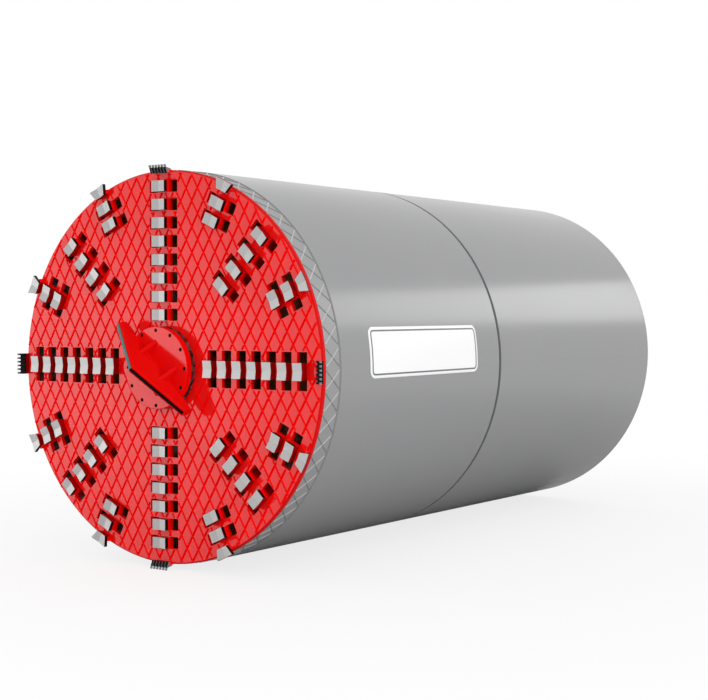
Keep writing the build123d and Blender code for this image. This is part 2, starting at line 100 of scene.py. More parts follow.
def fill(socket, value):
    """Links or sets an input. A colour comes without its alpha, a grey as one number."""
    if isinstance(value, Field):
        value.tree.links.new(value.socket, socket)
    elif socket.type == "RGBA":
        socket.default_value = (*value, 1) if isinstance(value, tuple) else (value, value, value, 1)
    else:
        socket.default_value = value


def put(tree, kind, **entries):
    """A new node by its first output. Capitalised entries are inputs, the others settings."""
    node = tree.nodes.new(kind)
    for name, value in entries.items():
        if name[0].isupper():
            fill(node.inputs[name.replace("_", " ")], value)
        else:
            setattr(node, name, value)
    return Field(node.outputs[0])


def new_tree(name, inputs, kind="GeometryNodeTree", outputs={"Geometry": "Geometry"}):
    """A tree whose inputs are named with a default number or a kind of socket."""
    tree = bpy.data.node_groups.new(name, kind)
    for way, sockets in (("INPUT", inputs), ("OUTPUT", outputs)):
        for label, value in sockets.items():
            what = value if isinstance(value, str) else "Int" if isinstance(value, int) else "Float"
            socket = tree.interface.new_socket(label, in_out=way, socket_type="NodeSocket" + what)
            if what != value:
                socket.default_value = value
    return tree, put(tree, "NodeGroupInput"), tree.nodes.new("NodeGroupOutput").inputs


def build_site_dust():
    """Dust that clings in patches, and the fine grain of a sprayed or cast surface."""
    inputs = {"Vector": "Vector", "Color": "Color", "Dust Color": "Color", "Dust": 0.2}
    inputs |= {"Patch Scale": 2.0, "Grain Scale": 180.0, "Roughness": 0.4}
    outputs = {"Color": "Color", "Roughness": "Float", "Height": "Float"}
    tree, given, result = new_tree("site_dust", inputs, "ShaderNodeTree", outputs)
    patches, grain = (
        put(tree, "ShaderNodeTexNoise", Vector=given["Vector"], Scale=given[scale], Detail=detail)
        for scale, detail in (("Patch Scale", 6), ("Grain Scale", 3))
    )
    mask = patches.math("MULTIPLY_ADD", 2.4, -0.8, use_clamp=True) * given["Dust"]
    rougher = mask.math("MULTIPLY_ADD", 0.35, given["Roughness"])
    fill(result["Color"], mask.mix(given["Color"], given["Dust Color"]))
    fill(result["Roughness"], grain.math("MULTIPLY_ADD", 0.06, rougher))
    fill(result["Height"], grain)
    return tree


site_dust = build_site_dust()


def new_material(name):
    """A material with its Principled shader's inputs and its Object coordinates."""
    material = bpy.data.materials.new(name)
    material.use_nodes = True
    tree = material.node_tree
    return material, tree.nodes["Principled BSDF"].inputs, put(tree, "ShaderNodeTexCoord")["Object"]


def bump(shader, height, strength):
    normal = put(height.tree, "ShaderNodeBump", Strength=strength, Distance=0.001, Height=height)
    fill(shader["Normal"], normal)


def coated(
    name, color, dust_color, dust, roughness,
    grain=180, patch=2.0, relief=0.08, specular=0.5, metallic=0.0, shade=None,
):
    """A painted, cast or rubber surface with dust and grain; shade may change its colour."""
    material, shader, place = new_material(name)
    coat = put(
        place.tree, "ShaderNodeGroup", node_tree=site_dust, Vector=place, Color=color,
        Dust_Color=dust_color, Dust=dust, Patch_Scale=patch, Grain_Scale=grain, Roughness=roughness,
    )
    fill(shader["Base Color"], shade(coat, place) if shade else coat)
    fill(shader["Roughness"], coat["Roughness"])
    fill(shader["Specular IOR Level"], specular)
    fill(shader["Metallic"], metallic)
    bump(shader, coat["Height"], relief)
    return material


def dress(material, *nodes):
    for node in nodes:
        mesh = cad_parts[node].data
        mesh.materials.clear()
        mesh.materials.append(material)


shell_paint = coated(
    "shell_paint", SHELL_GREY, SHELL_DUST, 0.08, 0.17, grain=260, patch=1.3, relief=0.04, specular=0.42
)
dress(shell_paint, "front_shell", "rear_shell")

# Cutterhead drum: a 30 mm face plate cut with muck slots, welded to a skirt and a four-spoke spider.
# The plate and the cutters' seats are sprayed signal red; the skirt stays in the shield's grey. A darker
# red on the seats' ends between two bits and round the rim is painted shade, a brighter red on the slots'
# walls painted light.
FACE_RED = (0.85, 0.0012, 0.0012)
# The brighter wall red is painted light; the darker seat and rim reds are painted shade.
WALL_PAINTED_LIGHT_RED = (1.0, 0.0012, 0.0012)
SEAT_PAINTED_SHADE = (0.30, 0.0008, 0.0008)
RIM_PAINTED_SHADE = (0.64, 0.0008, 0.0008)
BLADE_RED = (0.76, 0.001, 0.001)
PALE_DUST = (0.62, 0.16, 0.13)
SPRAYED = {"grain": 320, "patch": 3.0, "relief": 0.04}
SEAT_START = 0.031
RIM_WIDTH = 0.012
SKIRT_LOW, SKIRT_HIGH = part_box("head_skirt")


def parts(vector):
    """A vector's X, Y and Z fields."""
    return put(vector.tree, "ShaderNodeSeparateXYZ", Vector=vector)


def from_axis(place):
    """The vector to a place from the machine's axis, Y."""
    return place.vector("MULTIPLY", (1, 0, 1))


def along_radius(place):
    """How far a surface faces along its own radius about Y, from -1 to 1."""
    outward = from_axis(place).vector("NORMALIZE")
    return outward.vector("DOT_PRODUCT", place["Normal"])["Value"]


def radius_of(place):
    return from_axis(place).vector("LENGTH")["Value"]


def plate_painted_light_and_shade(red, place):
    """Painted light and shade: a brighter red on the slots' walls, a darker red on the seats' ends and round
    the rim.
    """
    radial = along_radius(place)
    raised = parts(place)["Y"] < SKIRT_LOW.y - SEAT_START
    wall = abs(parts(place["Normal"])["Y"]) < 0.5
    seated = (raised * (abs(radial) > 0.85)).mix(wall.mix(red, WALL_PAINTED_LIGHT_RED), SEAT_PAINTED_SHADE)
    rim = (radius_of(place) > SKIRT_HIGH.x - RIM_WIDTH) * (radial > 0.3)
    return rim.mix(seated, RIM_PAINTED_SHADE)


face_paint = coated("face_paint", FACE_RED, PALE_DUST, 0.03, 0.50, specular=0.12, **SPRAYED)
dress(face_paint, "head_spider")
blade_paint = coated("blade_paint", BLADE_RED, PALE_DUST, 0.03, 0.50, specular=0.02, **SPRAYED)
dress(blade_paint, "fishtail_blade")
plate_paint = coated(
    "plate_paint", FACE_RED, PALE_DUST, 0.03, 0.50, specular=0.12, shade=plate_painted_light_and_shade, **SPRAYED
)
dress(plate_paint, "face_plate")
dress(coated("skirt_paint", (0.27, 0.27, 0.275), SHELL_DUST, 0.12, 0.32, grain=260, patch=1.5), "head_skirt")

# Weld net on the face: hard-facing beads at 60 degrees to the horizontal that keep the plate from
# wearing. One run is unbroken, the other is laid in wider strokes between its lines. They end at every
# slot, seat and flange, and are painted over in red. The strokes are a darker red as painted shade and the
# unbroken run a lighter red as painted light, for how the lamps fall on the two directions.
NET_SPACING = 0.07794
NET_ANGLE = 60
NET_RADIUS = 1.193
NET_LINES = 31
NET_SHIFT = (0.0033, -0.0030)
NET_STEP = 0.0035
BEAD_HEIGHT = 0.0042
LINE_WIDTH = 0.0125
STROKE_WIDTH = 0.0155
STROKE_PART = 0.93
FACE_Y = SKIRT_LOW.y - 0.030
RAY_START = 0.5
ROUGH_BEAD = {"grain": 90, "patch": 6.0, "relief": 0.4}


def vector_of(tree, x=0.0, y=0.0, z=0.0):
    return put(tree, "ShaderNodeCombineXYZ", X=x, Y=y, Z=z)


def spot_of(tree):
    return parts(put(tree, "GeometryNodeInputPosition"))


def line_of_points(tree, count, offset, start=(0, 0, 0)):
    return put(tree, "GeometryNodeMeshLine", mode="OFFSET", Count=count, Offset=offset, Start_Location=start)


def without(geometry, selection):
    settings = {"domain": "POINT", "mode": "ALL", "Geometry": geometry, "Selection": selection}
    return put(geometry.tree, "GeometryNodeDeleteGeometry", **settings)


def real_copies(points, shape):
    placed = put(points.tree, "GeometryNodeInstanceOnPoints", Points=points, Instance=shape)
    return put(points.tree, "GeometryNodeRealizeInstances", Geometry=placed)


def solids_of(tree, *nodes):
    """The shapes of CAD nodes as one, for rays to meet."""
    whole = put(tree, "GeometryNodeJoinGeometry")
    for node in nodes:
        shape = put(tree, "GeometryNodeObjectInfo", Object=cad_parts[node])["Geometry"]
        fill(whole.node.inputs[0], shape)
    return whole


def cast(target, source, direction, length):
    """Rays from the source towards the target's shapes."""
    rays = {"Source_Position": source, "Ray_Direction": direction, "Ray_Length": length}
    return put(target.tree, "GeometryNodeRaycast", data_type="FLOAT", Target_Geometry=target, **rays)


def bead_profile(tree, width, height):
    """The cross-section of a bead: a low dome with a flat underside just inside the plate."""
    circle = put(tree, "GeometryNodeCurvePrimitiveCircle", mode="RADIUS", Resolution=8, Radius=1.0)
    spot = spot_of(tree)
    dome = vector_of(tree, spot["X"] * (width * 0.5), spot["Y"].math("MINIMUM", 0.2) * height)
    return put(tree, "GeometryNodeSetPosition", Geometry=circle, Position=dome)


def weld_lines(curves, step, width, height, wobble):
    """Domed beads along curves in the plane z = 0, each a little unsteady."""
    tree = curves.tree
    even = put(tree, "GeometryNodeResampleCurve", mode="LENGTH", Curve=curves, Length=step)
    noise = put(tree, "ShaderNodeTexNoise", Scale=37.0, Detail=2.0)["Color"]
    sway = noise.vector("SUBTRACT", (0.5, 0.5, 0.5)).vector("MULTIPLY", (wobble, wobble, 0))
    moved = put(tree, "GeometryNodeSetPosition", Geometry=even, Offset=sway)
    upright = put(tree, "GeometryNodeSetCurveNormal", mode="Z_UP", Curve=moved)
    profile = bead_profile(tree, width, height)
    return put(tree, "GeometryNodeCurveToMesh", Curve=upright, Profile_Curve=profile, Fill_Caps=True)


def close_tree(geometry, result, material):
    """Ends a tree in Realize Instances and Set Material."""
    real = put(geometry.tree, "GeometryNodeRealizeInstances", Geometry=geometry)
    fill(result[0], put(geometry.tree, "GeometryNodeSetMaterial", Geometry=real, Material=material))
    return geometry.tree


def face_net_tree(name, material, side, width, part):
    """One run of parallel beads on the face, turned to one side; a part under 1 cuts them into strokes."""
    inputs = {"Spacing": NET_SPACING, "Angle": radians(NET_ANGLE), "Radius": NET_RADIUS}
    inputs |= {"Shift X": NET_SHIFT[0], "Shift Z": NET_SHIFT[1], "Lines": NET_LINES, "Step": NET_STEP}
    inputs |= {"Bead Width": width, "Bead Height": BEAD_HEIGHT, "Stroke Part": part}
    tree, given, result = new_tree(name, inputs)
    radius, spacing, step, angle = (given[label] for label in ("Radius", "Spacing", "Step", "Angle"))
    along = line_of_points(tree, radius * 2.0 / step, vector_of(tree, step), vector_of(tree, radius * -1.0))
    low = (given["Lines"] - 1.0) * -0.5 * spacing
    rows = line_of_points(tree, given["Lines"], vector_of(tree, 0.0, spacing), vector_of(tree, 0.0, low))
    turn = vector_of(tree, 0.0, 0.0, angle * side)
    shift = vector_of(tree, given["Shift X"], given["Shift Z"])
    comb = real_copies(rows, along)
    beads = put(tree, "GeometryNodeTransform", Geometry=comb, Rotation=turn, Translation=shift)
    spot = spot_of(tree)
    across = (spot["X"] - given["Shift X"]) * angle.math("SINE")
    level = across + (spot["Y"] - given["Shift Z"]) * angle.math("COSINE")
    strokes = without(beads, (level / spacing).math("FRACT") > given["Stroke Part"])
    plate = solids_of(tree, "face_plate", "center_flange")
    kept = None
    reach = given["Bead Width"] * 0.35
    for x, z in ((0, 0), (1, 0), (-1, 0), (0, 1), (0, -1)):
        source = vector_of(tree, spot["X"] + reach * x, FACE_Y - RAY_START, spot["Y"] + reach * z)
        ray = cast(plate, source, (0, 1, 0), 2 * RAY_START)
        hit = (abs(ray["Hit Distance"] - RAY_START) < 0.001) * ray["Is Hit"]
        kept = kept * hit if kept else hit
    curves = put(tree, "GeometryNodeMeshToCurve", Mesh=without(strokes, kept < 0.5))
    beads = weld_lines(curves, 0.022, given["Bead Width"], given["Bead Height"], 0.004)
    pose = {"Rotation": (pi / 2, 0, 0), "Translation": (0, FACE_Y, 0)}
    return close_tree(put(tree, "GeometryNodeTransform", Geometry=beads, **pose), result, material)


def grown(name, tree, values={}):
    """What a tree makes out of nothing, as a plain mesh."""
    seed = bpy.data.objects.new(name + "_seed", bpy.data.meshes.new(name + "_seed"))
    bpy.context.scene.collection.objects.link(seed)
    modifier = seed.modifiers.new(name, "NODES")
    modifier.node_group = tree
    for item in tree.interface.items_tree:
        if item.in_out == "INPUT" and item.name in values:
            modifier[item.identifier] = values[item.name]
    bpy.context.view_layer.update()
    evaluated = seed.evaluated_get(bpy.context.evaluated_depsgraph_get())
    mesh = bpy.data.meshes.new_from_object(evaluated)
    mesh.name = name
    bpy.data.objects.remove(seed)
    return mesh


def joined(name, *meshes):
    bm = bmesh.new()
    for mesh in meshes:
        bm.from_mesh(mesh)
    mesh = bpy.data.meshes.new(name)
    bm.to_mesh(mesh)
    bm.free()
    return mesh


def finished(name, material, slot, *shapes, body="rear_section", angle=35):
    """A piece of one mesh or more: smooth but for its sharp edges, in its material and body; its slot is not
    used.
    """
    mesh = joined(name, *shapes) if len(shapes) > 1 else shapes[0]
    made = bpy.data.objects.new(name, mesh)
    bpy.context.scene.collection.objects.link(made)
    mesh.materials.clear()
    mesh.materials.append(material)
    mesh.shade_smooth()
    mesh.set_sharp_from_angle(angle=radians(angle))
    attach(made, body)


# The two runs' reds differ as painted light, the lighter one, and painted shade, the darker one.
line_painted_light_red = coated("line_painted_light_red", (0.97, 0.002, 0.002), PALE_DUST, 0.02, 0.6, specular=0.01, **ROUGH_BEAD)
stroke_painted_shade_red = coated("stroke_painted_shade_red", (0.92, 0.0005, 0.0005), PALE_DUST, 0.02, 0.7, specular=0.0, **ROUGH_BEAD)
for name, material, side, width, part in (
    ("face_weld_net", line_painted_light_red, -1, LINE_WIDTH, 1.0),
    ("face_weld_strokes", stroke_painted_shade_red, 1, STROKE_WIDTH, STROKE_PART),
):
    run = grown(name, face_net_tree(name, material, side, width, part))
    finished(name, material, "red_paint", run, body="cutterhead", angle=60)

# Weld net on the skirt: the same hard facing, one row of crosses round the drum, clear of each other.
# One run is painted light grey as painted light, the other dark grey as painted shade, and it is narrower and
# rougher. Each bead runs from the plate to the drum's rear edge.
SKIRT_BEADS = 59
SKIRT_LEAN = 4.95
SKIRT_TURN = 0.68
SKIRT_BEAD_HEIGHT = 0.0035
SKIRT_BEAD_ENDS = (SKIRT_LOW.y + 0.004, SKIRT_HIGH.y - 0.006)


def skirt_net_tree(name, material, width, ends):
    """One run of slanting beads round the skirt, from one end's y to the other's."""
    inputs = {"Beads": SKIRT_BEADS, "Lean": radians(SKIRT_LEAN), "Turn": radians(SKIRT_TURN)}
    inputs |= {"Radius": SKIRT_HIGH.x, "First": ends[0], "Last": ends[1]}
    tree, given, result = new_tree(name, inputs | {"Bead Width": width, "Bead Height": SKIRT_BEAD_HEIGHT})
    radius = given["Radius"]
    middle, half = given["Turn"] * radius, given["Lean"] * radius * 0.5
    start = vector_of(tree, middle - half, given["First"])
    end = vector_of(tree, middle + half, given["Last"])
    row = line_of_points(tree, given["Beads"], vector_of(tree, radius * (2 * pi) / given["Beads"]))
    curves = real_copies(row, put(tree, "GeometryNodeCurvePrimitiveLine", Start=start, End=end))
    flat = weld_lines(curves, 0.016, given["Bead Width"], given["Bead Height"], 0.003)
    spot = spot_of(tree)
    turn = spot["X"] / radius
    out = radius + spot["Z"]
    wrapped = vector_of(tree, turn.math("SINE") * out, spot["Y"], turn.math("COSINE") * out)
    round_skirt = put(tree, "GeometryNodeSetPosition", Geometry=flat, Position=wrapped)
    return close_tree(round_skirt, result, material)


# The two grey bead colours are painted light and painted shade for how the lamps fall on the two runs.
painted_light_bead = coated("painted_light_bead", (0.42, 0.42, 0.425), SHELL_DUST, 0.1, 0.26, **ROUGH_BEAD)
painted_shade_bead = coated("painted_shade_bead", (0.205, 0.205, 0.207), SHELL_DUST, 0.1, 0.45, specular=0.2, **ROUGH_BEAD)
for name, material, width, ends in (
    ("skirt_net_dull", painted_shade_bead, 0.008, SKIRT_BEAD_ENDS),
    ("skirt_net_bright", painted_light_bead, 0.011, SKIRT_BEAD_ENDS[::-1]),
):
    run = grown(name, skirt_net_tree(name, material, width, ends))
    finished(name, material, "shield_grey", run, body="cutterhead", angle=60)

# Bits: forged blocks with a ground, silver cutting face that dips to a shallow valley; the half of it that
# faces +X is painted darker as painted shade. Their sides towards the slots are black from the forge, those
# along the row red from the paint on the seats, in a dark red that is painted shade.
BIT_ARMS = ("up", "left", "down", "right")
BIT_DIAGONALS = ("upper_right", "upper_left", "lower_left", "lower_right")
SIDE_RED_AND_SHADE = (0.30, 0.002, 0.002)
GROUND_STREAKS = (0.42, (0.56, 0.56, 0.555))

bit_steel, shader, place = new_material("bit_steel")
facing = parts(place["Normal"])
stretched = put(place.tree, "ShaderNodeMapping", Vector=place, Scale=(1, 1, 14))
scratches = put(place.tree, "ShaderNodeTexNoise", Vector=stretched, Scale=60, Detail=5)
# Painted shade: the half of the ground face that faces +X is darkened towards 0.05.
ground = ((facing["X"] > 0.02) * 0.22).mix(scratches.mix(*GROUND_STREAKS), 0.05)
# The ends along the row: red paint, in a dark red that is painted shade.
side = (abs(along_radius(place)) > 0.7).mix(0.004, SIDE_RED_AND_SHADE)
fill(shader["Base Color"], (facing["Y"] < -0.6).mix(side, ground))
fill(shader["Specular IOR Level"], 0.16)
fill(shader["Roughness"], scratches.math("MULTIPLY_ADD", 0.16, 0.32))
bump(shader, scratches, 0.1)
dress(bit_steel, *("bits_" + row for row in (*BIT_ARMS, *BIT_DIAGONALS, "rim")), "gauge_cutters")

# Overcutters: leaning blocks of tool steel at the ends of the four arms, with sawn teeth that run past
# the rim and cut the ground just larger than the shield. Blackened by the heat treatment but for the
# teeth, which the ground keeps bright, and the sawn ends.
TOOTH_START = 1.2205
SAWN_STEEL = (0.20, 0.205, 0.21)
TOOTH_STEEL = (0.24, 0.255, 0.255)
BLACK_DUST = (0.05, 0.047, 0.044)
FORGED = {"grain": 140, "patch": 9.0}


def cutter_shade(black, place):
    """Bright steel on the teeth, and on the faces that look neither outwards nor along the axis."""
    sawn = abs(along_radius(place)) + abs(parts(place["Normal"])["Y"]) < 0.3
    return (radius_of(place) > TOOTH_START).mix(sawn.mix(black, SAWN_STEEL), TOOTH_STEEL)


black_steel = coated("black_steel", (0.007, 0.007, 0.008), BLACK_DUST, 0.15, 0.42, specular=0.12, **FORGED)
cutter_steel = coated(
    "cutter_steel", (0.009, 0.009, 0.010), BLACK_DUST, 0.1, 0.6, specular=0.01, shade=cutter_shade, **FORGED
)
dress(cutter_steel, "overcutters")

# Hard strips: narrow carbide bars brazed on the bevelled leading edges of the fishtail blade. The one on
# the lit edge is painted light teal grey as painted light, the other near black as painted shade.
CARBIDE_PAINTED_LIGHT = (0.085, 0.235, 0.22)
CARBIDE_PAINTED_SHADE = (0.001, 0.003, 0.003)

edge_carbide, shader, place = new_material("edge_carbide")
split = parts(place)
# The split along X - Z paints the lit edge's strip as painted light and the other as painted shade.
fill(shader["Base Color"], (split["X"] - split["Z"] > 0.0).mix(CARBIDE_PAINTED_LIGHT, CARBIDE_PAINTED_SHADE))
fill(shader["Roughness"], 0.5)
fill(shader["Specular IOR Level"], 0.03)
dress(edge_carbide, "blade_edges")

# Centre flange: a turned steel disc that carries the blade, sprayed red with the face. The lower part of
# its side, next to the plate, is coloured a dark brown, and is rougher.
FLANGE_DARK_BAND = 0.030
FLANGE_RED = (0.80, 0.001, 0.001)
FLANGE_DARK_BROWNS = ((0.03, 0.006, 0.006), (0.22, 0.06, 0.055))

flange_paint, shader, place = new_material("flange_paint")
ragged = put(place.tree, "ShaderNodeTexNoise", Vector=place, Scale=30)
dark_band = ragged.math("MULTIPLY_ADD", 0.006, parts(place)["Y"]) > FACE_Y - FLANGE_DARK_BAND
dark_brown = ragged.math("MULTIPLY_ADD", 5.0, -2.0, use_clamp=True).mix(*FLANGE_DARK_BROWNS)
fill(shader["Base Color"], dark_band.mix(FLANGE_RED, dark_brown))
fill(shader["Roughness"], dark_band.math("MULTIPLY_ADD", 0.1, 0.5))
fill(shader["Specular IOR Level"], 0.09)
bump(shader, ragged, 0.05)
dress(flange_paint, "center_flange")

# Screws of the centre flange: twelve socket heads in their pockets, black from the oven, that hold
# the fishtail blade's flange to the hub.
SCREW_RADIUS = 0.0114
SCREW_HEIGHT = 0.010
FLANGE_SCREWS = 12
FLANGE_SCREW_CIRCLE = 0.229
POCKET_DEPTH = 0.014


def lathe(bm, outline, sides, matrix):
    """A closed turned shape about Y from (radius, y) points; a radius of 0 ends it in a point."""
    rings = []
    for radius, y in outline:
        turns = [2 * pi * k / sides for k in range(sides if radius else 1)]
        rings.append([bm.verts.new(matrix @ Vector((radius * cos(a), y, radius * sin(a)))) for a in turns])
    for first, second in zip(rings, rings[1:]):
        for k in range(sides):
            corners = [first[k % len(first)], first[(k + 1) % len(first)]]
            corners += [second[(k + 1) % len(second)], second[k % len(second)]]
            kept = list(dict.fromkeys(corners))
            if len(kept) > 2:
                bm.faces.new(kept)


def close_mesh(name, bm):
    """The mesh of a bmesh, merged and with its faces turned outwards."""
    bmesh.ops.remove_doubles(bm, verts=bm.verts, dist=1e-6)
    bmesh.ops.recalc_face_normals(bm, faces=bm.faces)
    mesh = bpy.data.meshes.new(name)
    bm.to_mesh(mesh)
    bm.free()
    return mesh


def spun(outline, sides=24, axis="Y", place=(0, 0, 0)):
    """A turned shape from (radius, height) points along an axis of the frame."""
    turns = {"X": (-pi / 2, 4, "Z"), "Y": (0, 4, "Y"), "Z": (pi / 2, 4, "X")}
    bm = bmesh.new()
    lathe(bm, outline, sides, Matrix.Translation(place) @ Matrix.Rotation(*turns[axis]))
    return close_mesh("spun", bm)


def socket_screw(radius, height):
    """A screw head that looks along -Y from y = 0, with a round socket."""
    top, floor = -height, -0.35 * height
    side = ((0, 0), (radius, 0), (radius, 0.85 * top), (0.88 * radius, top))
    return spun((*side, (0.52 * radius, top), (0.5 * radius, floor), (0, floor)), 12)


def copies(points, item, **turned):
    """Copies of an object input on points."""
    shape = put(points.tree, "GeometryNodeObjectInfo", Object=item)["Geometry"]
    return put(points.tree, "GeometryNodeInstanceOnPoints", Points=points, Instance=shape, **turned)


def ring_tree():
    """Copies of an item on a circle about Y, each turned with its place; the item's X points outwards."""
    inputs = {"Item": "Object", "Material": "Material", "Count": 1, "Circle Radius": 0.0, "Start Angle": 0.0}
    tree, given, result = new_tree("ring_of_items", inputs)
    angle = put(tree, "GeometryNodeInputIndex") / given["Count"] * (2 * pi) + given["Start Angle"]
    x, z = (angle.math(wave) * given["Circle Radius"] for wave in ("COSINE", "SINE"))
    points = put(tree, "GeometryNodePoints", Count=given["Count"], Position=vector_of(tree, x, 0.0, z))
    turned = vector_of(tree, 0.0, angle * -1.0)
    return close_tree(copies(points, given["Item"], Rotation=turned), result, given["Material"])


ring_of_items = ring_tree()


def repeated(tree, item, material, values):
    """The plain mesh of a tree that repeats an item's mesh."""
    source = bpy.data.objects.new("item", item)
    bpy.context.scene.collection.objects.link(source)
    mesh = grown("repeated", tree, {"Item": source, "Material": material, **values})
    bpy.data.objects.remove(source)
    return mesh


def ring(item, material, count, radius, start=0.0):
    values = {"Count": count, "Circle Radius": radius, "Start Angle": radians(start)}
    return repeated(ring_of_items, item, material, values)


def shifted(mesh, x=0.0, y=0.0, z=0.0):
    mesh.transform(Matrix.Translation((x, y, z)))
    return mesh


screw_black = coated("screw_black", (0.004, 0.006, 0.006), 0.05, 0.05, 0.6, grain=240, specular=0.01)
screws = ring(socket_screw(SCREW_RADIUS, SCREW_HEIGHT), screw_black, FLANGE_SCREWS, FLANGE_SCREW_CIRCLE)
shifted(screws, y=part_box("center_flange")[0].y + POCKET_DEPTH)
finished("flange_screws", screw_black, "black_steel", screws, body="cutterhead")

# Label plate: a thin enamelled steel plate, bent to the shell and stuck on it, with a raised grey
# outline inside its edge. It carries no marking.
LABEL_FRONT = -3.891
LABEL_REAR = -2.634
LABEL_LOW = -2.6
LABEL_HIGH = 12.0
LABEL_CORNER = 0.047
LABEL_THICKNESS = 0.003
OUTLINE_INSET = 0.018
OUTLINE_WIDTH = 0.010
OUTLINE_RISE = 0.0015


def label_loops(name, profile, closed):
    """Rounded rectangles on the shell, each by its (inset, height over the shell, squeeze)."""
    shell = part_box("front_shell")[1].x
    half_run = (LABEL_REAR - LABEL_FRONT) / 2
    half_rise = radians(LABEL_HIGH - LABEL_LOW) * shell / 2
    middle = radians(LABEL_HIGH + LABEL_LOW) / 2
    bm = bmesh.new()
    loops = []
    for inset, height, squeeze in profile:
        corner = max(LABEL_CORNER - inset, 0.006)
        run, rise = half_run - inset - corner, half_rise - inset - corner
        spots = []
        for quarter, (a, b) in enumerate(((1, 1), (-1, 1), (-1, -1), (1, -1))):
            for turn in (radians(90 * quarter + 90 * k / 8) for k in range(9)):
                spots.append((a * run + corner * cos(turn), (b * rise + corner * sin(turn)) * squeeze))
            if quarter in (1, 3):
                spots += [(a * (half_run - inset), b * rise * (1 - k / 6) * squeeze) for k in range(1, 12)]
        loop = []
        for along, up in spots:
            a, y = middle + up / shell, (LABEL_FRONT + LABEL_REAR) / 2 + along
            loop.append(bm.verts.new(((shell + height) * cos(a), y, (shell + height) * sin(a))))
        loops.append(loop)
    pairs = list(zip(loops, loops[1:]))
    if closed:
        pairs.append((loops[-1], loops[0]))
    for first, second in pairs:
        for k, after in enumerate((*range(1, len(first)), 0)):
            bm.faces.new((first[k], first[after], second[after], second[k]))
    if not closed:
        bmesh.ops.remove_doubles(bm, verts=bm.verts, dist=1e-5)
        bmesh.ops.dissolve_degenerate(bm, dist=1e-5, edges=bm.edges)
    return close_mesh(name, bm)


label_profile = [(0.004, -0.001, 0.0), (0.003, -0.001, 0.5), (0, -0.001, 1), (0, 0.002, 1)]
label_profile.append((0.001, LABEL_THICKNESS, 1))
label_profile += [(0.012, LABEL_THICKNESS, squeeze) for squeeze in (1, 0.8, 0.6, 0.4, 0.2, 0.0)]
label_white = coated("label_enamel", 0.86, (0.6, 0.59, 0.57), 0.04, 0.22, grain=300, relief=0.02)
label_mesh = label_loops("label_plate", label_profile, False)
finished("label_plate", label_white, "target_panel", label_mesh, body="front_section", angle=50)
rises = (-0.001, OUTLINE_RISE - 0.0004, OUTLINE_RISE)
profile = [(OUTLINE_INSET + inset, LABEL_THICKNESS + rise, 1) for inset, rise in zip((0, 0, 0.001), rises)]
profile += [(2 * OUTLINE_INSET + OUTLINE_WIDTH - inset, *rest) for inset, *rest in profile[::-1]]
outline_grey = coated("outline_grey", (0.13, 0.13, 0.135), SHELL_DUST, 0.1, 0.3, grain=300, relief=0.02)
outline_mesh = label_loops("label_outline", profile, True)
finished("label_outline", outline_grey, "shield_grey", outline_mesh, body="front_section", angle=50)

# Wiper ring: a strip of grey felt and rubber on the front shell's rim that keeps muck out of the
# running gap behind the drum. It clears the drum by a few millimetres.
WIPER_DEPTH = 0.0062
WIPER_OUTER = 1.2078
WIPER_INNER = 1.186
WIPER_EDGE = 0.002

wiper_rubber = coated("wiper_rubber", (0.25, 0.25, 0.252), (0.3, 0.29, 0.28), 0.3, 0.6, grain=150)
shell_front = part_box("front_shell")[0].y
wiper_front = shell_front - WIPER_DEPTH
outline = [(WIPER_INNER, shell_front), (WIPER_INNER, wiper_front), (WIPER_OUTER - WIPER_EDGE, wiper_front)]
outline += [(WIPER_OUTER, wiper_front + WIPER_EDGE), (WIPER_OUTER, shell_front), outline[0]]
finished("wiper_ring", wiper_rubber, "black_steel", spun(outline, 180), body="front_section")

# Muck chamber: crusher cone, shaft and the front of the bulkhead and of the bearing housing, plate and
# castings welded to the front shell. Wet brown clay covers them; behind the bulkhead they keep a grey primer.
BULKHEAD_MIDDLE = sum(corner.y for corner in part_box("bulkhead")) / 2
PRIMER_GREY = (0.30, 0.31, 0.31)


def muck_shade(muddy, place):
    return (parts(place)["Y"] > BULKHEAD_MIDDLE).mix(muddy, PRIMER_GREY)


muck_steel = coated(
    "muck_steel", (0.24, 0.085, 0.016), (0.34, 0.16, 0.06), 0.4, 0.62,
    grain=60, patch=5.0, relief=0.3, specular=0.1, shade=muck_shade,
)
dress(muck_steel, "bulkhead", "crusher_cone", "bearing_housing", "drive_shaft")

# Seal ring: a floating steel ring with rubber lips, greased, dark in the steering seam. It lies between
# the two shells and keeps water and slurry out while the front one tilts.
dress(coated("seal_rubber", (0.20, 0.20, 0.205), (0.06, 0.055, 0.05), 0.2, 0.5), "seal_ring")

# Inside steelwork of the tail: frames, sleeve, lugs and saddles welded from plate, in light grey. Nuts
# and washers hold the steering barrels' feet on the ring frame, a cover closes each bolt pattern, and
# bent straps hold the slurry lines down on their saddles.
FRAME_NUT = 0.013
FRAME_NUTS = 8
FRAME_NUT_CIRCLE = 0.082
BARREL_COVER = 0.052
LINE_RADIUS = 0.084
STRAP_PLACES = (-1.271, -0.36)
STRAP_WIDTH = 0.040
STRAP_THICKNESS = 0.006
STRAP_FOOT = 0.0155
STRAP_BOLT = (0.0935, 0.011)
RUST_DUST = (0.22, 0.18, 0.13)
SIDES = (-1, 1)


def block(low, high, cut=0.002):
    """A box with its edges broken by a small chamfer."""
    size = Vector(high) - Vector(low)
    middle = (Vector(high) + Vector(low)) / 2
    bm = bmesh.new()
    bmesh.ops.create_cube(bm, size=1, matrix=Matrix.Translation(middle) @ Matrix.Diagonal((*size, 1)))
    if cut:
        bmesh.ops.bevel(bm, geom=bm.edges[:], offset=cut, segments=1, affect="EDGES")
    return close_mesh("block", bm)


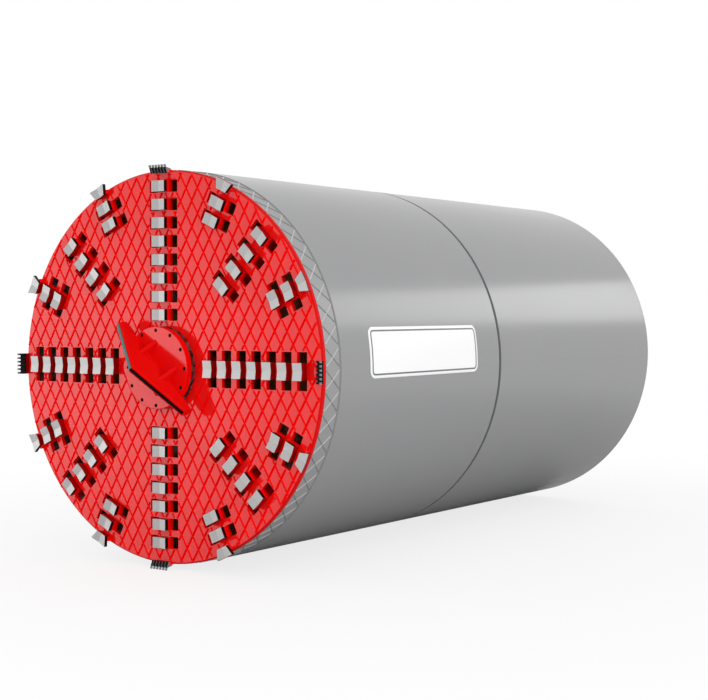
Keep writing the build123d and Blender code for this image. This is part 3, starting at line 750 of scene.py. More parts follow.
def drum(radius, start, end, cut=0.002, sides=24, axis="Y", place=(0, 0, 0)):
    """A short cylinder with broken edges."""
    side = ((radius - cut, start), (radius, start + cut), (radius, end - cut), (radius - cut, end))
    return spun(((0, start), *side, (0, end)), sides, axis, place)


def hoop(inner, outer, start, end, cut=0.002, sides=32, axis="Y", place=(0, 0, 0)):
    """A flat ring with its outer edges broken."""
    side = ((outer - cut, start), (outer, start + cut), (outer, end - cut), (outer - cut, end))
    return spun(((inner, start), *side, (inner, end), (inner, start)), sides, axis, place)


def hex_head(radius, height, axis="Y", place=(0, 0, 0)):
    """A hexagon head on its washer."""
    seat = 0.22 * height
    side = ((radius, seat), (radius, 0.88 * height), (0.86 * radius, height))
    head = spun(((0, seat), *side, (0, height)), 6, axis, place)
    return joined("hex_head", drum(1.3 * radius, 0, seat, 0.0005, 16, axis, place), head)


def swept(name, loops):
    """A closed mesh through loops of equal length, capped at both ends."""
    bm = bmesh.new()
    rows = [[bm.verts.new(point) for point in loop] for loop in loops]
    for first, second in zip(rows, rows[1:]):
        for k in range(len(first)):
            bm.faces.new((first[k], first[k - 1], second[k - 1], second[k]))
    bm.faces.new(rows[0])
    bm.faces.new(rows[-1])
    return close_mesh(name, bm)


def at(mesh, *places):
    """Copies of a mesh at other places."""
    return [shifted(mesh.copy(), *place) for place in places]


inner_paint = coated("inner_paint", (0.42, 0.43, 0.42), (0.30, 0.27, 0.23), 0.25, 0.42, patch=3.0)
dress(inner_paint, "thrust_ring", "steering_frame", "steering_sleeve", "steering_lugs", "line_saddles")

zinc_steel = coated(
    "zinc_steel", (0.50, 0.49, 0.46), RUST_DUST, 0.35, 0.36, grain=200, patch=20.0, metallic=0.9
)
frame_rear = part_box("steering_frame")[1].y
barrel_circle = sum(corner.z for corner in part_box("steering_rod_top")) / 2
feet_nuts = ring(hex_head(FRAME_NUT, 0.018), zinc_steel, FRAME_NUTS, FRAME_NUT_CIRCLE, start=22.5)
feet_nuts = shifted(ring(feet_nuts, zinc_steel, 4, barrel_circle), y=frame_rear)
finished("frame_nuts", zinc_steel, "machined_steel", feet_nuts)
cover = joined("cover", drum(BARREL_COVER, 0, 0.012), drum(0.018, 0.012, 0.03, sides=6))
covers = shifted(ring(cover, inner_paint, 4, barrel_circle), y=frame_rear)
finished("barrel_covers", inner_paint, "inner_grey", covers)

line_low, line_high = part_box("discharge_line_rear")
line_x, line_z = (line_low.x + line_high.x) / 2, (line_low.z + line_high.z) / 2
inner, outer, half = LINE_RADIUS + 0.0003, LINE_RADIUS + STRAP_THICKNESS, STRAP_WIDTH / 2
strap_corners = ((inner, -half), (outer, -half), (outer, half), (inner, half))
strap_turns = [(cos(pi * k / 12), sin(pi * k / 12)) for k in range(13)]
strap = swept("strap", [[(r * c, y, r * s) for r, y in strap_corners] for c, s in strap_turns])
feet = []
for side in SIDES:
    near, far = sorted((side * LINE_RADIUS, side * (LINE_RADIUS + STRAP_FOOT)))
    feet.append(block((near, -half, 0), (far, half, STRAP_THICKNESS), 0.001))
strap = joined("strap", strap, *feet)
places = [(side * line_x, y, line_z) for side in SIDES for y in STRAP_PLACES]
finished("line_straps", zinc_steel, "machined_steel", *at(strap, *places))
bolt_x, bolt_y = STRAP_BOLT
bolt_places = [
    (x + side * bolt_x, y + along, z + STRAP_THICKNESS)
    for x, y, z in places for side in SIDES for along in (-bolt_y, bolt_y)
]
finished("strap_bolts", zinc_steel, "machined_steel", *at(hex_head(0.006, 0.009, "Z"), *bolt_places))

# Drive and hydraulics: gear case, geared motors, barrels and pump motor in machine blue-grey enamel.
# The motors are cast with cooling fins and carry a sheet fan cowl and a terminal box; screws hold the
# gear case's cover and the motors' flanges.
MOTOR_RADIUS = 0.120
MOTOR_LENGTH = 0.420
MOTOR_FINS = 28
FIN_HEIGHT = 0.010
FIN_THICKNESS = 0.003
GRILLE_RINGS = (0.25, 0.4, 0.55, 0.7)
CASE_SCREWS = 24
CASE_SCREW_CIRCLE = 0.452
MOTOR_CIRCLE = 0.290
MOTOR_SCREWS = 8
MOTOR_SCREW_CIRCLE = 0.128
MOTOR_FLANGE = 0.025
PUMP_FOOT_X = 0.17
PUMP_FOOT_Y = (0.08, -0.12)
PUMP_FOOT_THICKNESS = 0.014


def fan_motor(radius, length, material):
    """Fins, fan cowl and terminal box of a motor along Y from y = 0, the box towards +X."""
    cowl_start, end, box_start = 0.76 * length, length + 0.010, 0.2 * length
    half = FIN_THICKNESS / 2
    fin = block((radius - 0.002, 0.03, -half), (radius + FIN_HEIGHT, cowl_start, half), 0.0008)
    fins = ring(fin, material, MOTOR_FINS, 0.0)
    reach = radius + FIN_HEIGHT - 0.002
    side = ((reach, cowl_start), (reach, 0.97 * length), (0.93 * reach, end))
    cowl = spun(((0, cowl_start), *side, (0, end)), 32)
    grille = [hoop(r, r + 0.004, end - 0.001, end + 0.003, 0.001) for r in (p * reach for p in GRILLE_RINGS)]
    box = block((radius - 0.01, box_start, -0.055), (radius + 0.045, box_start + 0.13, 0.055), 0.004)
    lid = block((radius + 0.046, box_start + 0.004, -0.051), (radius + 0.053, box_start + 0.126, 0.051))
    rim = hoop(radius - 0.004, reach, 0.004, 0.026)
    return joined("fan_motor", fins, cowl, *grille, box, lid, rim)


drive_paint = coated("drive_paint", (0.055, 0.10, 0.125), (0.20, 0.18, 0.15), 0.25, 0.35, patch=5.0)
dress(drive_paint, "gear_case", "drive_motors", "steering_barrels", "pump_motor")

motors = ring(fan_motor(MOTOR_RADIUS, MOTOR_LENGTH, drive_paint), drive_paint, 4, MOTOR_CIRCLE, start=45)
shifted(motors, y=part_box("drive_motors")[1].y - MOTOR_LENGTH)
finished("drive_motor_fins", drive_paint, "drive_paint", motors, body="front_section")
case_screws = ring(hex_head(0.011, 0.013), zinc_steel, CASE_SCREWS, CASE_SCREW_CIRCLE)
motor_screws = ring(hex_head(0.008, 0.010), zinc_steel, MOTOR_SCREWS, MOTOR_SCREW_CIRCLE, start=22.5)
motor_screws = shifted(ring(motor_screws, zinc_steel, 4, MOTOR_CIRCLE, start=45), y=MOTOR_FLANGE)
screws = shifted(joined("drive_screws", case_screws, motor_screws), y=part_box("gear_case")[1].y)
finished("drive_screws", zinc_steel, "machined_steel", screws, body="front_section")

pump_low, pump_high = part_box("pump_motor")
pump_x, pump_radius = (pump_low.x + pump_high.x) / 2, (pump_high.x - pump_low.x) / 2
pump_place = (pump_x, pump_low.y, pump_high.z - pump_radius)
pump_set = fan_motor(pump_radius, pump_high.y - pump_low.y, drive_paint)
pump_set.transform(Matrix.Rotation(-pi / 2, 4, "Y"))
bell = [(0, -0.08), (0.075, -0.08), (0.085, -0.07), (0.13, -0.012), (0.15, -0.01), (0.15, 0.001), (0, 0.001)]
gear_pump = block((-0.06, -0.165, -0.065), (0.06, -0.079, 0.065), 0.006)
pump_end = joined("pump_end", spun(bell, 32), gear_pump, drum(0.045, -0.178, -0.164))
foot_rows = (pump_low.y + PUMP_FOOT_Y[0], pump_high.y + PUMP_FOOT_Y[1])
foot = block((-0.025, -0.03, 0), (0.025, 0.03, PUMP_FOOT_THICKNESS))
feet = at(foot, *((pump_x + side * PUMP_FOOT_X, y, pump_low.z) for side in SIDES for y in foot_rows))
upper = shifted(pump_set, *pump_place), shifted(pump_end, *pump_place)
finished("pump_set", drive_paint, "drive_paint", *upper, *feet)
foot_top = pump_low.z + PUMP_FOOT_THICKNESS
bolt_places = [(pump_x + side * (PUMP_FOOT_X + 0.005), y, foot_top) for side in SIDES for y in foot_rows]
finished("pump_bolts", zinc_steel, "machined_steel", *at(hex_head(0.008, 0.011, "Z"), *bolt_places))

# Rods: hard-chromed steel bars with forged eyes, a film of oil on them. Each slides in its barrel, and
# its eye sits on a pin of the front section's lugs.
chrome = coated("rod_chrome", (0.62, 0.62, 0.63), (0.3, 0.28, 0.25), 0.05, 0.14, relief=0.02, metallic=1.0)
dress(chrome, *("steering_rod_" + place for place in ("top", "left", "bottom", "right")))

# Slurry lines: seamless pipe with welded flanges in black paint. Cast grooved couplings join their
# lengths, and a weld runs round behind each flange. The flanges' bolt holes stay open for the next pipe.
COUPLING_PLACES = (-0.80, -1.10)
COUPLING_LENGTH = 0.046
EAR_REACH = 0.108
FLANGE_THICKNESS = 0.024

line_paint = coated("line_paint", (0.03, 0.03, 0.032), (0.15, 0.12, 0.09), 0.3, 0.4, patch=4.0)
dress(line_paint, *(line + end for line in ("feed_line_", "discharge_line_") for end in ("front", "rear")))

cast_orange = coated("cast_orange", (0.42, 0.09, 0.02), (0.20, 0.13, 0.08), 0.35, 0.5, patch=9.0)
bore, shoulder, crown = LINE_RADIUS - 0.001, LINE_RADIUS + 0.009, LINE_RADIUS + 0.016
half = COUPLING_LENGTH / 2
side = ((bore, -half), (shoulder, -half), (crown, -half + 0.008), (crown, half - 0.008), (shoulder, half))
coupling = spun((*side, (bore, half), (bore, -half)), 32)
ear = block((-0.020, -0.013, -0.014), (0.020, 0.013, 0.014), 0.003)
coupling = joined("coupling", coupling, *at(ear, (0, 0, -EAR_REACH), (0, 0, EAR_REACH)))
places = [(side * line_x, y, line_z) for side in SIDES for y in COUPLING_PLACES]
finished("line_couplings", cast_orange, "line_paint", *at(coupling, *places))
nut = drum(0.006, -0.034, -0.019, axis="X", sides=12)
ear_bolt = joined("ear_bolt", hex_head(0.008, 0.010, "X", (0.020, 0, 0)), nut)
bolt_places = [(x, y, z + side * EAR_REACH) for x, y, z in places for side in SIDES]
finished("coupling_bolts", zinc_steel, "machined_steel", *at(ear_bolt, *bolt_places))
side = ((bore, 0.001), (bore, -0.010), (LINE_RADIUS + 0.002, -0.008), (LINE_RADIUS + 0.008, 0.001))
weld_places = [(side_x, line_high.y - FLANGE_THICKNESS, line_z) for side_x in (-line_x, line_x)]
finished("flange_welds", line_paint, "line_paint", *at(spun((*side, side[0]), 32), *weld_places))

# Deck: tear plate laid on the tail's floor, rolled with raised lozenges that cross in turn. Its dark
# paint is worn off the crowns where people and hoses pass.
LUG_PITCH = 0.034
LUG_LENGTH = 0.013
LUG_WIDTH = 0.004
LUG_HEIGHT = 0.0016
LUG_CREST = 0.45

dress(coated("deck_paint", (0.09, 0.09, 0.095), (0.20, 0.17, 0.13), 0.4, 0.5, patch=4.0), "deck")


def lozenge():
    """Four corners and a crest of two points."""
    bm = bmesh.new()
    corners = ((-LUG_LENGTH, 0), (0, -LUG_WIDTH), (LUG_LENGTH, 0), (0, LUG_WIDTH))
    spots = [bm.verts.new((x, y, 0)) for x, y in corners]
    spots += [bm.verts.new((side * LUG_LENGTH * LUG_CREST, 0, LUG_HEIGHT)) for side in SIDES]
    for face in ((0, 1, 4), (1, 5, 4), (1, 2, 5), (2, 3, 5), (3, 4, 5), (3, 0, 4), (3, 2, 1, 0)):
        bm.faces.new([spots[k] for k in face])
    return close_mesh("lozenge", bm)


def tread_tree():
    """Lozenges on a grid, turned in turn, but none under what stands on the deck."""
    inputs = {"Item": "Object", "Material": "Material", "Width": 1.0, "Length": 1.0}
    inputs |= {"Middle Y": 0.0, "Height": 0.0, "Columns": 2, "Rows": 2}
    tree, given, result = new_tree("deck_tread", inputs)
    counts = {"Vertices_X": given["Columns"], "Vertices_Y": given["Rows"]}
    grid = put(tree, "GeometryNodeMeshGrid", Size_X=given["Width"], Size_Y=given["Length"], **counts)
    shift = vector_of(tree, 0.0, given["Middle Y"], given["Height"])
    laid = put(tree, "GeometryNodeTransform", Geometry=grid, Translation=shift)
    standing = solids_of(tree, "oil_tank", "control_cabinet", "line_saddles")
    position = put(tree, "GeometryNodeInputPosition")
    covered = cast(standing, position.vector("ADD", (0, 0, 0.002)), (0, 0, 1), 1.2)["Is Hit"]
    spot = parts(position)
    column = (spot["X"] / LUG_PITCH).math("ROUND")
    row = ((spot["Y"] - given["Middle Y"]) / LUG_PITCH).math("ROUND")
    turn = (column + row) % 2.0 * (pi / 2) + pi / 4
    lugs = copies(without(laid, covered), given["Item"], Rotation=vector_of(tree, 0.0, 0.0, turn))
    return close_tree(lugs, result, given["Material"])


deck_low, deck_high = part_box("deck")
columns = 2 * int((deck_high.x - 0.03) / LUG_PITCH) + 1
rows = 2 * int(((deck_high.y - deck_low.y) / 2 - 0.02) / LUG_PITCH) + 1
tread_values = {"Width": (columns - 1) * LUG_PITCH, "Length": (rows - 1) * LUG_PITCH}
tread_values |= {"Columns": columns, "Rows": rows}
tread_values |= {"Middle Y": (deck_low.y + deck_high.y) / 2, "Height": deck_high.z - 0.0002}
tread_steel = coated("tread_steel", 0.17, RUST_DUST, 0.3, 0.34, patch=6.0)
tread = repeated(tread_tree(), lozenge(), tread_steel, tread_values)
finished("deck_tread", tread_steel, "deck_steel", tread)

# Oil tank: folded and welded sheet in dark grey with a screwed lid. On it are the return filter and the
# breather, on its rear side a round cleaning cover, a level gauge and the drain plug.
COVER_RADIUS = 0.105
COVER_SCREWS = 10
COVER_HEIGHT = -0.67
COVER_SIDE = -0.03
COVER_THICKNESS = 0.010
LID_SCREWS = 9
LID_RISE = 0.007
GAUGE_SIDE = 0.045
GAUGE_ENDS = (-0.80, -0.56)

tank_paint = coated("tank_paint", (0.16, 0.18, 0.20), (0.25, 0.22, 0.18), 0.2, 0.38, patch=3.0)
dress(tank_paint, "oil_tank")
tank_low, tank_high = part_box("oil_tank")
rear, tank_top = tank_high.y, tank_high.z
cover_x = (tank_low.x + tank_high.x) / 2 + COVER_SIDE


def row_tree():
    """Copies of an item in a straight row from the origin."""
    inputs = {"Item": "Object", "Material": "Material", "Count": 1}
    tree, given, result = new_tree("row_of_items", inputs | {"Step X": 0.0, "Step Y": 0.0, "Step Z": 0.0})
    step = vector_of(tree, given["Step X"], given["Step Y"], given["Step Z"])
    line = line_of_points(tree, given["Count"], step)
    return close_tree(copies(line, given["Item"]), result, given["Material"])


row_of_items = row_tree()


def row(item, material, count, x=0.0, y=0.0, z=0.0):
    return repeated(row_of_items, item, material, {"Count": count, "Step X": x, "Step Y": y, "Step Z": z})


def border(low, high, width, axis="Z"):
    """A flat rectangular frame between two corners, its plane across the axis."""
    across = {"Y": (0, 2), "Z": (0, 1)}[axis]
    bars = []
    for first, second in (across, across[::-1]):
        for near in (True, False):
            start, end = list(low), list(high)
            if near:
                end[first] = low[first] + width
            else:
                start[first] = high[first] - width
            if first == across[1]:
                start[second] += width
                end[second] -= width
            bars.append(block(start, end, 0.001))
    return joined("border", *bars)


lid = border(
    (tank_low.x + 0.004, tank_low.y + 0.004, tank_top - 0.001),
    (tank_high.x - 0.004, rear - 0.004, tank_top + LID_RISE), 0.030,
)
seams = border(
    (tank_low.x + 0.012, rear - 0.001, tank_low.z + 0.012),
    (tank_high.x - 0.012, rear + 0.003, tank_top - 0.012), 0.012, "Y",
)
handle = border(
    (cover_x - 0.045, rear + 0.009, COVER_HEIGHT - 0.005),
    (cover_x + 0.045, rear + 0.040, COVER_HEIGHT + 0.005), 0.010,
)
cover_top = rear + COVER_THICKNESS
cleaning = hoop(0.001, COVER_RADIUS, rear, cover_top, place=(cover_x, 0, COVER_HEIGHT), sides=48)
finished("tank_fittings", tank_paint, "tank_paint", lid, seams, cleaning, handle)
cover_screws = ring(hex_head(0.006, 0.008), zinc_steel, COVER_SCREWS, COVER_RADIUS - 0.012)
shifted(cover_screws, cover_x, cover_top, COVER_HEIGHT)
screw_step = (rear - tank_low.y - 0.04) / (LID_SCREWS - 1)
side_screws = row(hex_head(0.005, 0.006, "Z"), zinc_steel, LID_SCREWS, y=screw_step)
screw_lines = (tank_low.x + 0.02, tank_high.x - 0.02)
lid_screws = at(side_screws, *((x, tank_low.y + 0.02, tank_top + LID_RISE) for x in screw_lines))
drain = hex_head(0.016, 0.024, place=(tank_low.x + 0.05, rear, tank_low.z + 0.045))
gauge_x = tank_high.x - GAUGE_SIDE
gauge_ends = [drum(0.012, 0, 0.022, place=(gauge_x, rear, z), sides=6) for z in GAUGE_ENDS]
finished("tank_fasteners", zinc_steel, "machined_steel", cover_screws, *lid_screws, drain, *gauge_ends)
gauge_glass = coated("gauge_glass", (0.45, 0.30, 0.05), (0.3, 0.25, 0.15), 0.1, 0.08)
gauge = drum(0.007, GAUGE_ENDS[0] + 0.01, GAUGE_ENDS[1] - 0.01, axis="Z", place=(gauge_x, rear + 0.012, 0))
finished("level_gauge", gauge_glass, "tank_paint", gauge)
profile = ((0, 0), (0.022, 0), (0.022, 0.03), (0.036, 0.034), (0.038, 0.05), (0.034, 0.07), (0.02, 0.078))
breather = spun((*profile, (0, 0.08)), 24, "Z", (tank_low.x + 0.075, rear - 0.085, tank_top))
profile = ((0, 0), (0.055, 0), (0.055, 0.02), (0.045, 0.024), (0.045, 0.085), (0.052, 0.088), (0.052, 0.102))
profile += ((0.04, 0.110), (0, 0.112))
return_filter = spun(profile, 32, "Z", (tank_high.x - 0.085, rear - 0.085, tank_top))
finished("tank_caps", black_steel, "black_steel", breather, return_filter)

# Steering pipework: a steel valve manifold on the tank and cold-drawn tubes, bent and clamped along the
# shell to the four barrels. Two serve each barrel; those of the lowest one go down through the deck.
TUBE_RADIUS = 0.009
TUBE_BEND = 0.035
TUBE_GAP = 0.035
TUBE_SIDES = 10
WALL_REACH = 0.95
ARC_REACH = 1.095
MANIFOLD_HEIGHT = 0.055
VALVES = 4
VALVE_PITCH = 0.048
ARC_CLAMPS = (165, 135, 108)


def tube(*points):
    """A tube bent through points."""
    points = [Vector(point) for point in points]
    path = [points[0]]
    for before, corner, after in zip(points, points[1:], points[2:]):
        start = corner + (before - corner).normalized() * TUBE_BEND
        end = corner + (after - corner).normalized() * TUBE_BEND
        path += [start.lerp(corner, k / 5).lerp(corner.lerp(end, k / 5), k / 5) for k in range(6)]
    path.append(points[-1])
    side = (path[1] - path[0]).orthogonal()
    turns = [2 * pi * k / TUBE_SIDES for k in range(TUBE_SIDES)]
    loops = []
    for k, spot in enumerate(path):
        ahead = (path[min(k + 1, len(path) - 1)] - path[max(k - 1, 0)]).normalized()
        side = (side - ahead * side.dot(ahead)).normalized()
        up = ahead.cross(side)
        loops.append([spot + (side * cos(a) + up * sin(a)) * TUBE_RADIUS for a in turns])
    return swept("tube", loops)


manifold_x, manifold_front = tank_low.x + 0.036, tank_low.y + 0.015
frame_entry = frame_rear - 0.002
down_y = frame_rear + 0.10
tubes = []
for k in range(2):
    near = TUBE_GAP * k
    foot = -0.05 + 0.1 * k
    x, y = manifold_x, manifold_front + 0.03 + near
    port, rise, wall = tank_top + MANIFOLD_HEIGHT, tank_top + 0.15 + near, -WALL_REACH - near
    bends = ((x, y, rise), (wall, y, rise), (wall, y, foot))
    tubes.append(tube((x, y, port), *bends, (wall, frame_entry, foot)))
    y, rise, reach = manifold_front + 0.11 + near, rise + 0.05, ARC_REACH + near
    arc = [(reach * cos(radians(a)), y, reach * sin(radians(a))) for a in range(188, 94 + 4 * k, -6)]
    entry = (arc[-1][0], frame_entry, arc[-1][2])
    tubes.append(tube((x, y, port), (x, y, rise), (arc[0][0] + 0.14, y, rise), *arc, entry))
    x, z, wall = manifold_x - 0.012 + 0.024 * k, tank_top + 0.020 + near, WALL_REACH + near
    ahead = frame_rear + 0.17 - near
    bends = ((x, ahead, z), (wall, ahead, z), (wall, ahead, foot))
    tubes.append(tube((x, manifold_front + 0.002, z), *bends, (wall, frame_entry, foot)))
    x = manifold_x + 0.12 + near
    tubes.append(tube((x, down_y, -0.60), (x, down_y, deck_high.z - 0.004)))
    tubes.append(tube((x, down_y, -0.61), (x, down_y, -0.52), (x, manifold_front + 0.02, -0.52)))
tube_steel = coated(
    "tube_steel", (0.36, 0.37, 0.38), (0.2, 0.17, 0.13), 0.2, 0.3, grain=240, patch=8.0, metallic=0.8
)
finished("steering_tubes", tube_steel, "machined_steel", *tubes)
manifold_place = (manifold_x, manifold_front, tank_top)
blocks = at(block((-0.026, 0, -0.001), (0.026, 0.20, MANIFOLD_HEIGHT), 0.003), manifold_place)
valve = shifted(block((0.024, 0.010, 0.012), (0.054, 0.044, 0.046), 0.003), *manifold_place)
blocks += at(valve, *((0, VALVE_PITCH * k, 0) for k in range(VALVES)))
for side in SIDES:
    y = manifold_front + 0.0475 if side < 0 else frame_rear + 0.1525
    inner, outer = sorted((side * 0.93, side * 1.166))
    blocks.append(block((inner, y - 0.034, -0.165), (outer, y + 0.034, -0.140), 0.003))
for a in ARC_CLAMPS:
    clamp = block((1.08, manifold_front + 0.085, -0.014), (1.176, manifold_front + 0.17, 0.014), 0.003)
    clamp.transform(Matrix.Rotation(radians(-a), 4, "Y"))
    blocks.append(clamp)
finished("valve_manifold", black_steel, "black_steel", *blocks)

# Control cabinet: folded sheet in light grey enamel with two doors, hinges and quarter-turn locks. The
# rear end carries the lamps, the main switch and the stop button, all without lettering.
LOUVRES = 9
LOUVRE_TOP = -0.62
LOUVRE_ENDS = (-0.085, 0.085)
HINGE_HEIGHTS = (-0.78, -0.10)
LOCK_HEIGHTS = (-0.65, -0.2)
LOCK_PLACES = (-0.93, -0.87)
LAMP_HEIGHT = -0.12
LAMP_PITCH = 0.06
SWITCH_HEIGHT = -0.30
STOP_HEIGHT = -0.21
GLAND_HEIGHT = -0.82
HAND_DUST = (0.3, 0.28, 0.25)
LAMPS = {"lamp_green": (0.02, 0.20, 0.06), "lamp_white": (0.6, 0.6, 0.58), "lamp_red": (0.35, 0.01, 0.01)}

cabinet_paint = coated("cabinet_paint", (0.52, 0.53, 0.52), (0.35, 0.32, 0.27), 0.15, 0.4, patch=3.0)
dress(cabinet_paint, "control_cabinet")
cabinet_low, cabinet_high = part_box("control_cabinet")
middle = (cabinet_low.x + cabinet_high.x) / 2
left, right, top = cabinet_low.x, cabinet_high.x, cabinet_high.z
front, back, panel_y = cabinet_low.y, cabinet_high.y, cabinet_high.y + 0.005
door_foot, door_top = cabinet_low.z + 0.05, top - 0.02
door_length = (back - front - 0.03) / 2
shut = []
for start in (front + 0.010 + k * (door_length + 0.010) for k in range(2)):
    shut.append(block((left - 0.005, start, door_foot), (left + 0.001, start + door_length, door_top)))
shut.append(block((left + 0.02, back - 0.001, door_foot), (right - 0.02, panel_y, door_top)))
shut.append(block((left - 0.008, front - 0.008, top), (right + 0.008, back + 0.012, top + 0.010)))
slat_corners = ((0, 0), (0.007, -0.002), (0.007, -0.009), (0, -0.011))
slat = swept("slat", [[(x, y, z) for y, z in slat_corners] for x in LOUVRE_ENDS])
shut.append(shifted(row(slat, cabinet_paint, LOUVRES, z=-0.018), middle, panel_y - 0.001, LOUVRE_TOP))
finished("cabinet_doors", cabinet_paint, "cabinet_paint", *shut)
fittings = [
    drum(0.006, z, z + 0.05, 0.001, 12, "Z", (left - 0.006, y, 0))
    for y in (front + 0.008, back - 0.008) for z in HINGE_HEIGHTS
]
fittings += [
    drum(0.011, 0, 0.010, 0.001, 20, "X", (left - 0.013, y, z)) for y in LOCK_PLACES for z in LOCK_HEIGHTS
]
fittings += [
    hoop(0.010, 0.017, -0.003, 0.003, 0.001, 20, "X", (middle + side * 0.10, y, top + 0.024))
    for side in SIDES for y in (front + 0.06, back - 0.06)
]
finished("cabinet_fittings", zinc_steel, "machined_steel", *fittings)
switch_place = (middle, panel_y, SWITCH_HEIGHT)
switches = at(drum(0.032, 0, 0.010, 0.002, 32), switch_place)
switches += at(block((-0.007, 0.009, -0.026), (0.007, 0.026, 0.026), 0.003), switch_place)
lamp_places = [(middle + LAMP_PITCH * k, panel_y, LAMP_HEIGHT) for k in (-1, 0, 1)]
switches += at(hoop(0.0095, 0.014, 0, 0.006, 0.001, 24), *lamp_places)
gland_places = [(middle + 0.05 * k, panel_y, GLAND_HEIGHT) for k in (-1.5, -0.5, 0.5, 1.5)]
switches += at(drum(0.013, 0, 0.022, 0.002, 6), *gland_places)
finished("cabinet_switches", black_steel, "black_steel", *switches)
lens = ((0, 0.001), (0.009, 0.001), (0.009, 0.006), (0.006, 0.010), (0, 0.0115))
for (name, color), place in zip(LAMPS.items(), lamp_places):
    lens_glass = coated(name, color, HAND_DUST, 0.05, 0.12)
    finished(name, lens_glass, "cabinet_paint", spun(lens, 20, place=place))
stop_place = (middle, panel_y, STOP_HEIGHT)
stop_yellow = coated("stop_yellow", (0.62, 0.36, 0.01), HAND_DUST, 0.1, 0.35)
finished("stop_plate", stop_yellow, "cabinet_paint", drum(0.034, 0, 0.004, 0.001, 40, place=stop_place))
stop_red = coated("stop_red", (0.50, 0.008, 0.006), (0.3, 0.2, 0.18), 0.08, 0.3)
profile = ((0, 0.003), (0.012, 0.003), (0.012, 0.018), (0.021, 0.020), (0.022, 0.027), (0.016, 0.033))
button = spun((*profile, (0, 0.035)), 32, place=stop_place)
finished("stop_button", stop_red, "red_paint", button)

# Laser target: a white enamelled board on a post under the steering frame's top, ruled with a fine
# black grid and two rings for the guiding laser, in an aluminium edge.
GRID_STEP = 0.02
GRID_LINE = 0.0014
GRID_DEPTH = 0.0006
RING_RADII = (0.03, 0.06)
TARGET_EDGE = 0.010

dress(coated("target_white", (0.70, 0.70, 0.68), (0.4, 0.36, 0.3), 0.1, 0.55), "laser_target")
target_low, target_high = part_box("laser_target")
target_rear, target_half = target_high.y, (target_high.x - target_low.x) / 2
target_z = target_low.z + target_half
count = 2 * int((target_half - 0.014) / GRID_STEP) + 1
span = (count - 1) / 2 * GRID_STEP
reach, half = target_half - 0.011, GRID_LINE / 2
upright = block((-half, 0, -reach), (half, GRID_DEPTH, reach), 0)
level = block((-reach, 0, -half), (reach, GRID_DEPTH, half), 0)
target_ink = coated("target_ink", 0.02, (0.2, 0.18, 0.15), 0.1, 0.5)
ruled = [shifted(row(upright, target_ink, count, x=GRID_STEP), -span, target_rear, target_z)]
ruled.append(shifted(row(level, target_ink, count, z=GRID_STEP), 0, target_rear, target_z - span))
ruled += [hoop(r, r + 0.002, 0, 0.0008, 0.0002, 48, "Y", (0, target_rear, target_z)) for r in RING_RADII]
finished("target_grid", target_ink, "black_steel", *ruled)
edge_low = (-target_half, target_rear - 0.0005, target_z - target_half)
edge_high = (target_half, target_rear + 0.006, target_z + target_half)
finished("target_edge", zinc_steel, "machined_steel", border(edge_low, edge_high, TARGET_EDGE, "Y"))

# Studio: a pale floor under the belly and the lowest overcutter, white all round, a key light from
# the front left and a panel behind on the right that draws the band along the shield. Two fills light
# the side and the face, and one lamp, kept off the shells, draws the pale veil on the red.
FLOOR_Z = cad_box[0][2]
FLOOR_HALF = 60
FLOOR_GREY = 0.52
FLOOR_SEEN = 0.86
FLOOR_GLOW = 0.79
FADE_MIDDLE = (0.9, -1.8, FLOOR_Z)
FADE_START = 2.2
FADE_END = 6.5
SKY_STRENGTH = 0.88
HEAD_MIDDLE = (0, -4.3, 0)


def seen_by(tree, *rays):
    """1 for rays of the kinds named, at most two."""
    path = put(tree, "ShaderNodeLightPath")
    kinds = [path[f"Is {ray} Ray"] for ray in rays]
    return kinds[0].math("MAXIMUM", kinds[1]) if len(kinds) > 1 else kinds[0]


def studio_floor():
    mesh = bpy.data.meshes.new("studio_floor")
    corners = [(FLOOR_HALF * x, FLOOR_HALF * y, FLOOR_Z) for x, y in ((-1, -1), (1, -1), (1, 1), (-1, 1))]
    mesh.from_pydata(corners, [], [(0, 1, 2, 3)])
    floor = bpy.data.objects.new("studio_floor", mesh)
    bpy.context.scene.collection.objects.link(floor)
    material, shader, place = new_material("studio_floor")
    tree = place.tree
    camera_ray = seen_by(tree, "Camera")
    fill(shader["Base Color"], camera_ray.mix(FLOOR_GREY, FLOOR_SEEN))
    fill(shader["Roughness"], 0.6)
    fill(shader["Specular IOR Level"], 0.2)
    reach = place.vector("DISTANCE", FADE_MIDDLE)["Value"]
    limits = {"From_Min": FADE_START, "From_Max": FADE_END}
    fade = put(tree, "ShaderNodeMapRange", interpolation_type="SMOOTHSTEP", Value=reach, **limits)
    by_camera = fade.math("MULTIPLY_ADD", 1 - FLOOR_GLOW, FLOOR_GLOW) * camera_ray
    mask = by_camera.math("MAXIMUM", fade * seen_by(tree, "Glossy", "Transmission"))
    grey = Field(tree.nodes["Principled BSDF"].outputs[0])
    blend = mask.into("ShaderNodeMixShader", grey, put(tree, "ShaderNodeEmission", Color=1))
    fill(tree.nodes["Material Output"].inputs["Surface"], blend)
    mesh.materials.append(material)


studio_floor()


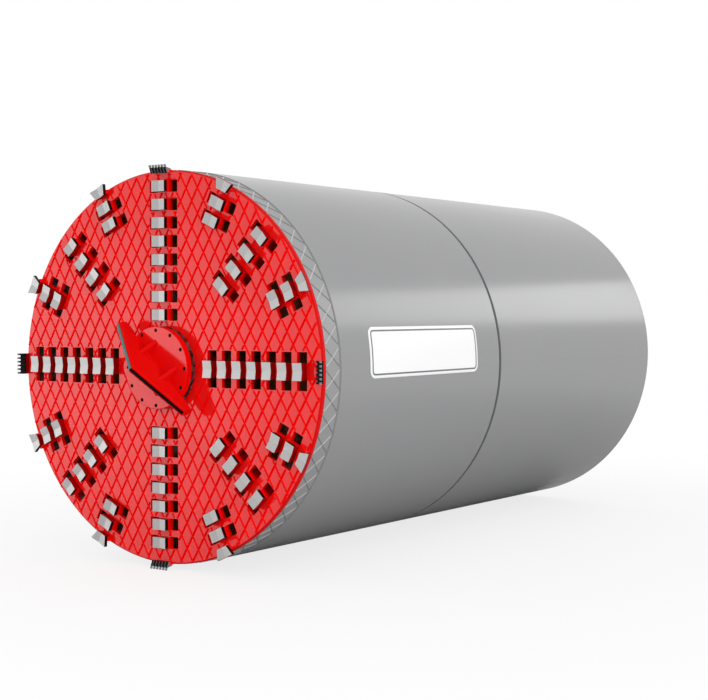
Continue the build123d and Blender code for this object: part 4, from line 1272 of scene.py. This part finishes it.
def studio_world():
    world = bpy.data.worlds.new("studio_world")
    world.use_nodes = True
    tree = world.node_tree
    sky = Field(tree.nodes["Background"].outputs[0])
    fill(sky.node.inputs["Color"], 1)
    fill(sky.node.inputs["Strength"], SKY_STRENGTH)
    white = put(tree, "ShaderNodeBackground", Color=1, Strength=1.0)
    direct = seen_by(tree, "Camera", "Glossy").math("MAXIMUM", seen_by(tree, "Transmission"))
    fill(tree.nodes["World Output"].inputs["Surface"], direct.into("ShaderNodeMixShader", sky, white))
    bpy.context.scene.world = world


studio_world()


def softbox(name, place, target, width, height, watts, roll=0, unseen=None):
    light = bpy.data.lights.new(name, "AREA")
    light.shape = "RECTANGLE"
    light.size, light.size_y, light.energy = width, height, watts
    lamp = bpy.data.objects.new(name, light)
    lamp.location = place
    facing = (Vector(target) - Vector(place)).to_track_quat("-Z", "Y").to_matrix()
    lamp.rotation_euler = (facing @ Matrix.Rotation(radians(roll), 3, "Z")).to_euler()
    bpy.context.scene.collection.objects.link(lamp)
    if unseen:
        setattr(lamp, unseen, False)
    return lamp


softbox("key_light", (-6.0, -11.0, 0.7), HEAD_MIDDLE, 0.6, 0.6, 25)
sheen = softbox("face_sheen", (-6.3, -10.72, -0.25), HEAD_MIDDLE, 0.6, 0.6, 1480, unseen="visible_diffuse")
shells = bpy.data.collections.new("outside_the_sheen")
for node in ("front_shell", "rear_shell", "head_skirt"):
    shells.objects.link(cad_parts[node])
for entry in shells.collection_objects:
    entry.light_linking.link_state = "EXCLUDE"
sheen.light_linking.receiver_collection = shells
softbox("side_panel", (6.5, 9.0, 4.4), (1.1, -2.0, 0.4), 6.2, 3.2, 49.5 * pi, roll=-22)
softbox("side_fill", (11.3, -5.8, -0.6), (1.2, -3.4, 0), 4.0, 1.6, 455, unseen="visible_glossy")
softbox("front_fill", (5.5, -14.5, 3.0), HEAD_MIDDLE, 5.0, 4.0, 135, unseen="visible_glossy")

# Camera: the photograph's view from the front right, a little above the height of the machine's axis,
# fitted to the outlines of the shield and the face in the photo.
camera_data = bpy.data.cameras.new("photo_camera")
camera_data.sensor_width = 36
camera_data.lens = 75.574
camera = bpy.data.objects.new("photo_camera", camera_data)
camera.location = (6.1556, -11.1615, 0.3613)
camera.rotation_euler = (radians(90 - 1.598), 0, radians(34.863))
bpy.context.scene.collection.objects.link(camera)
bpy.context.scene.camera = camera
bpy.context.scene.view_settings.view_transform = "Standard"
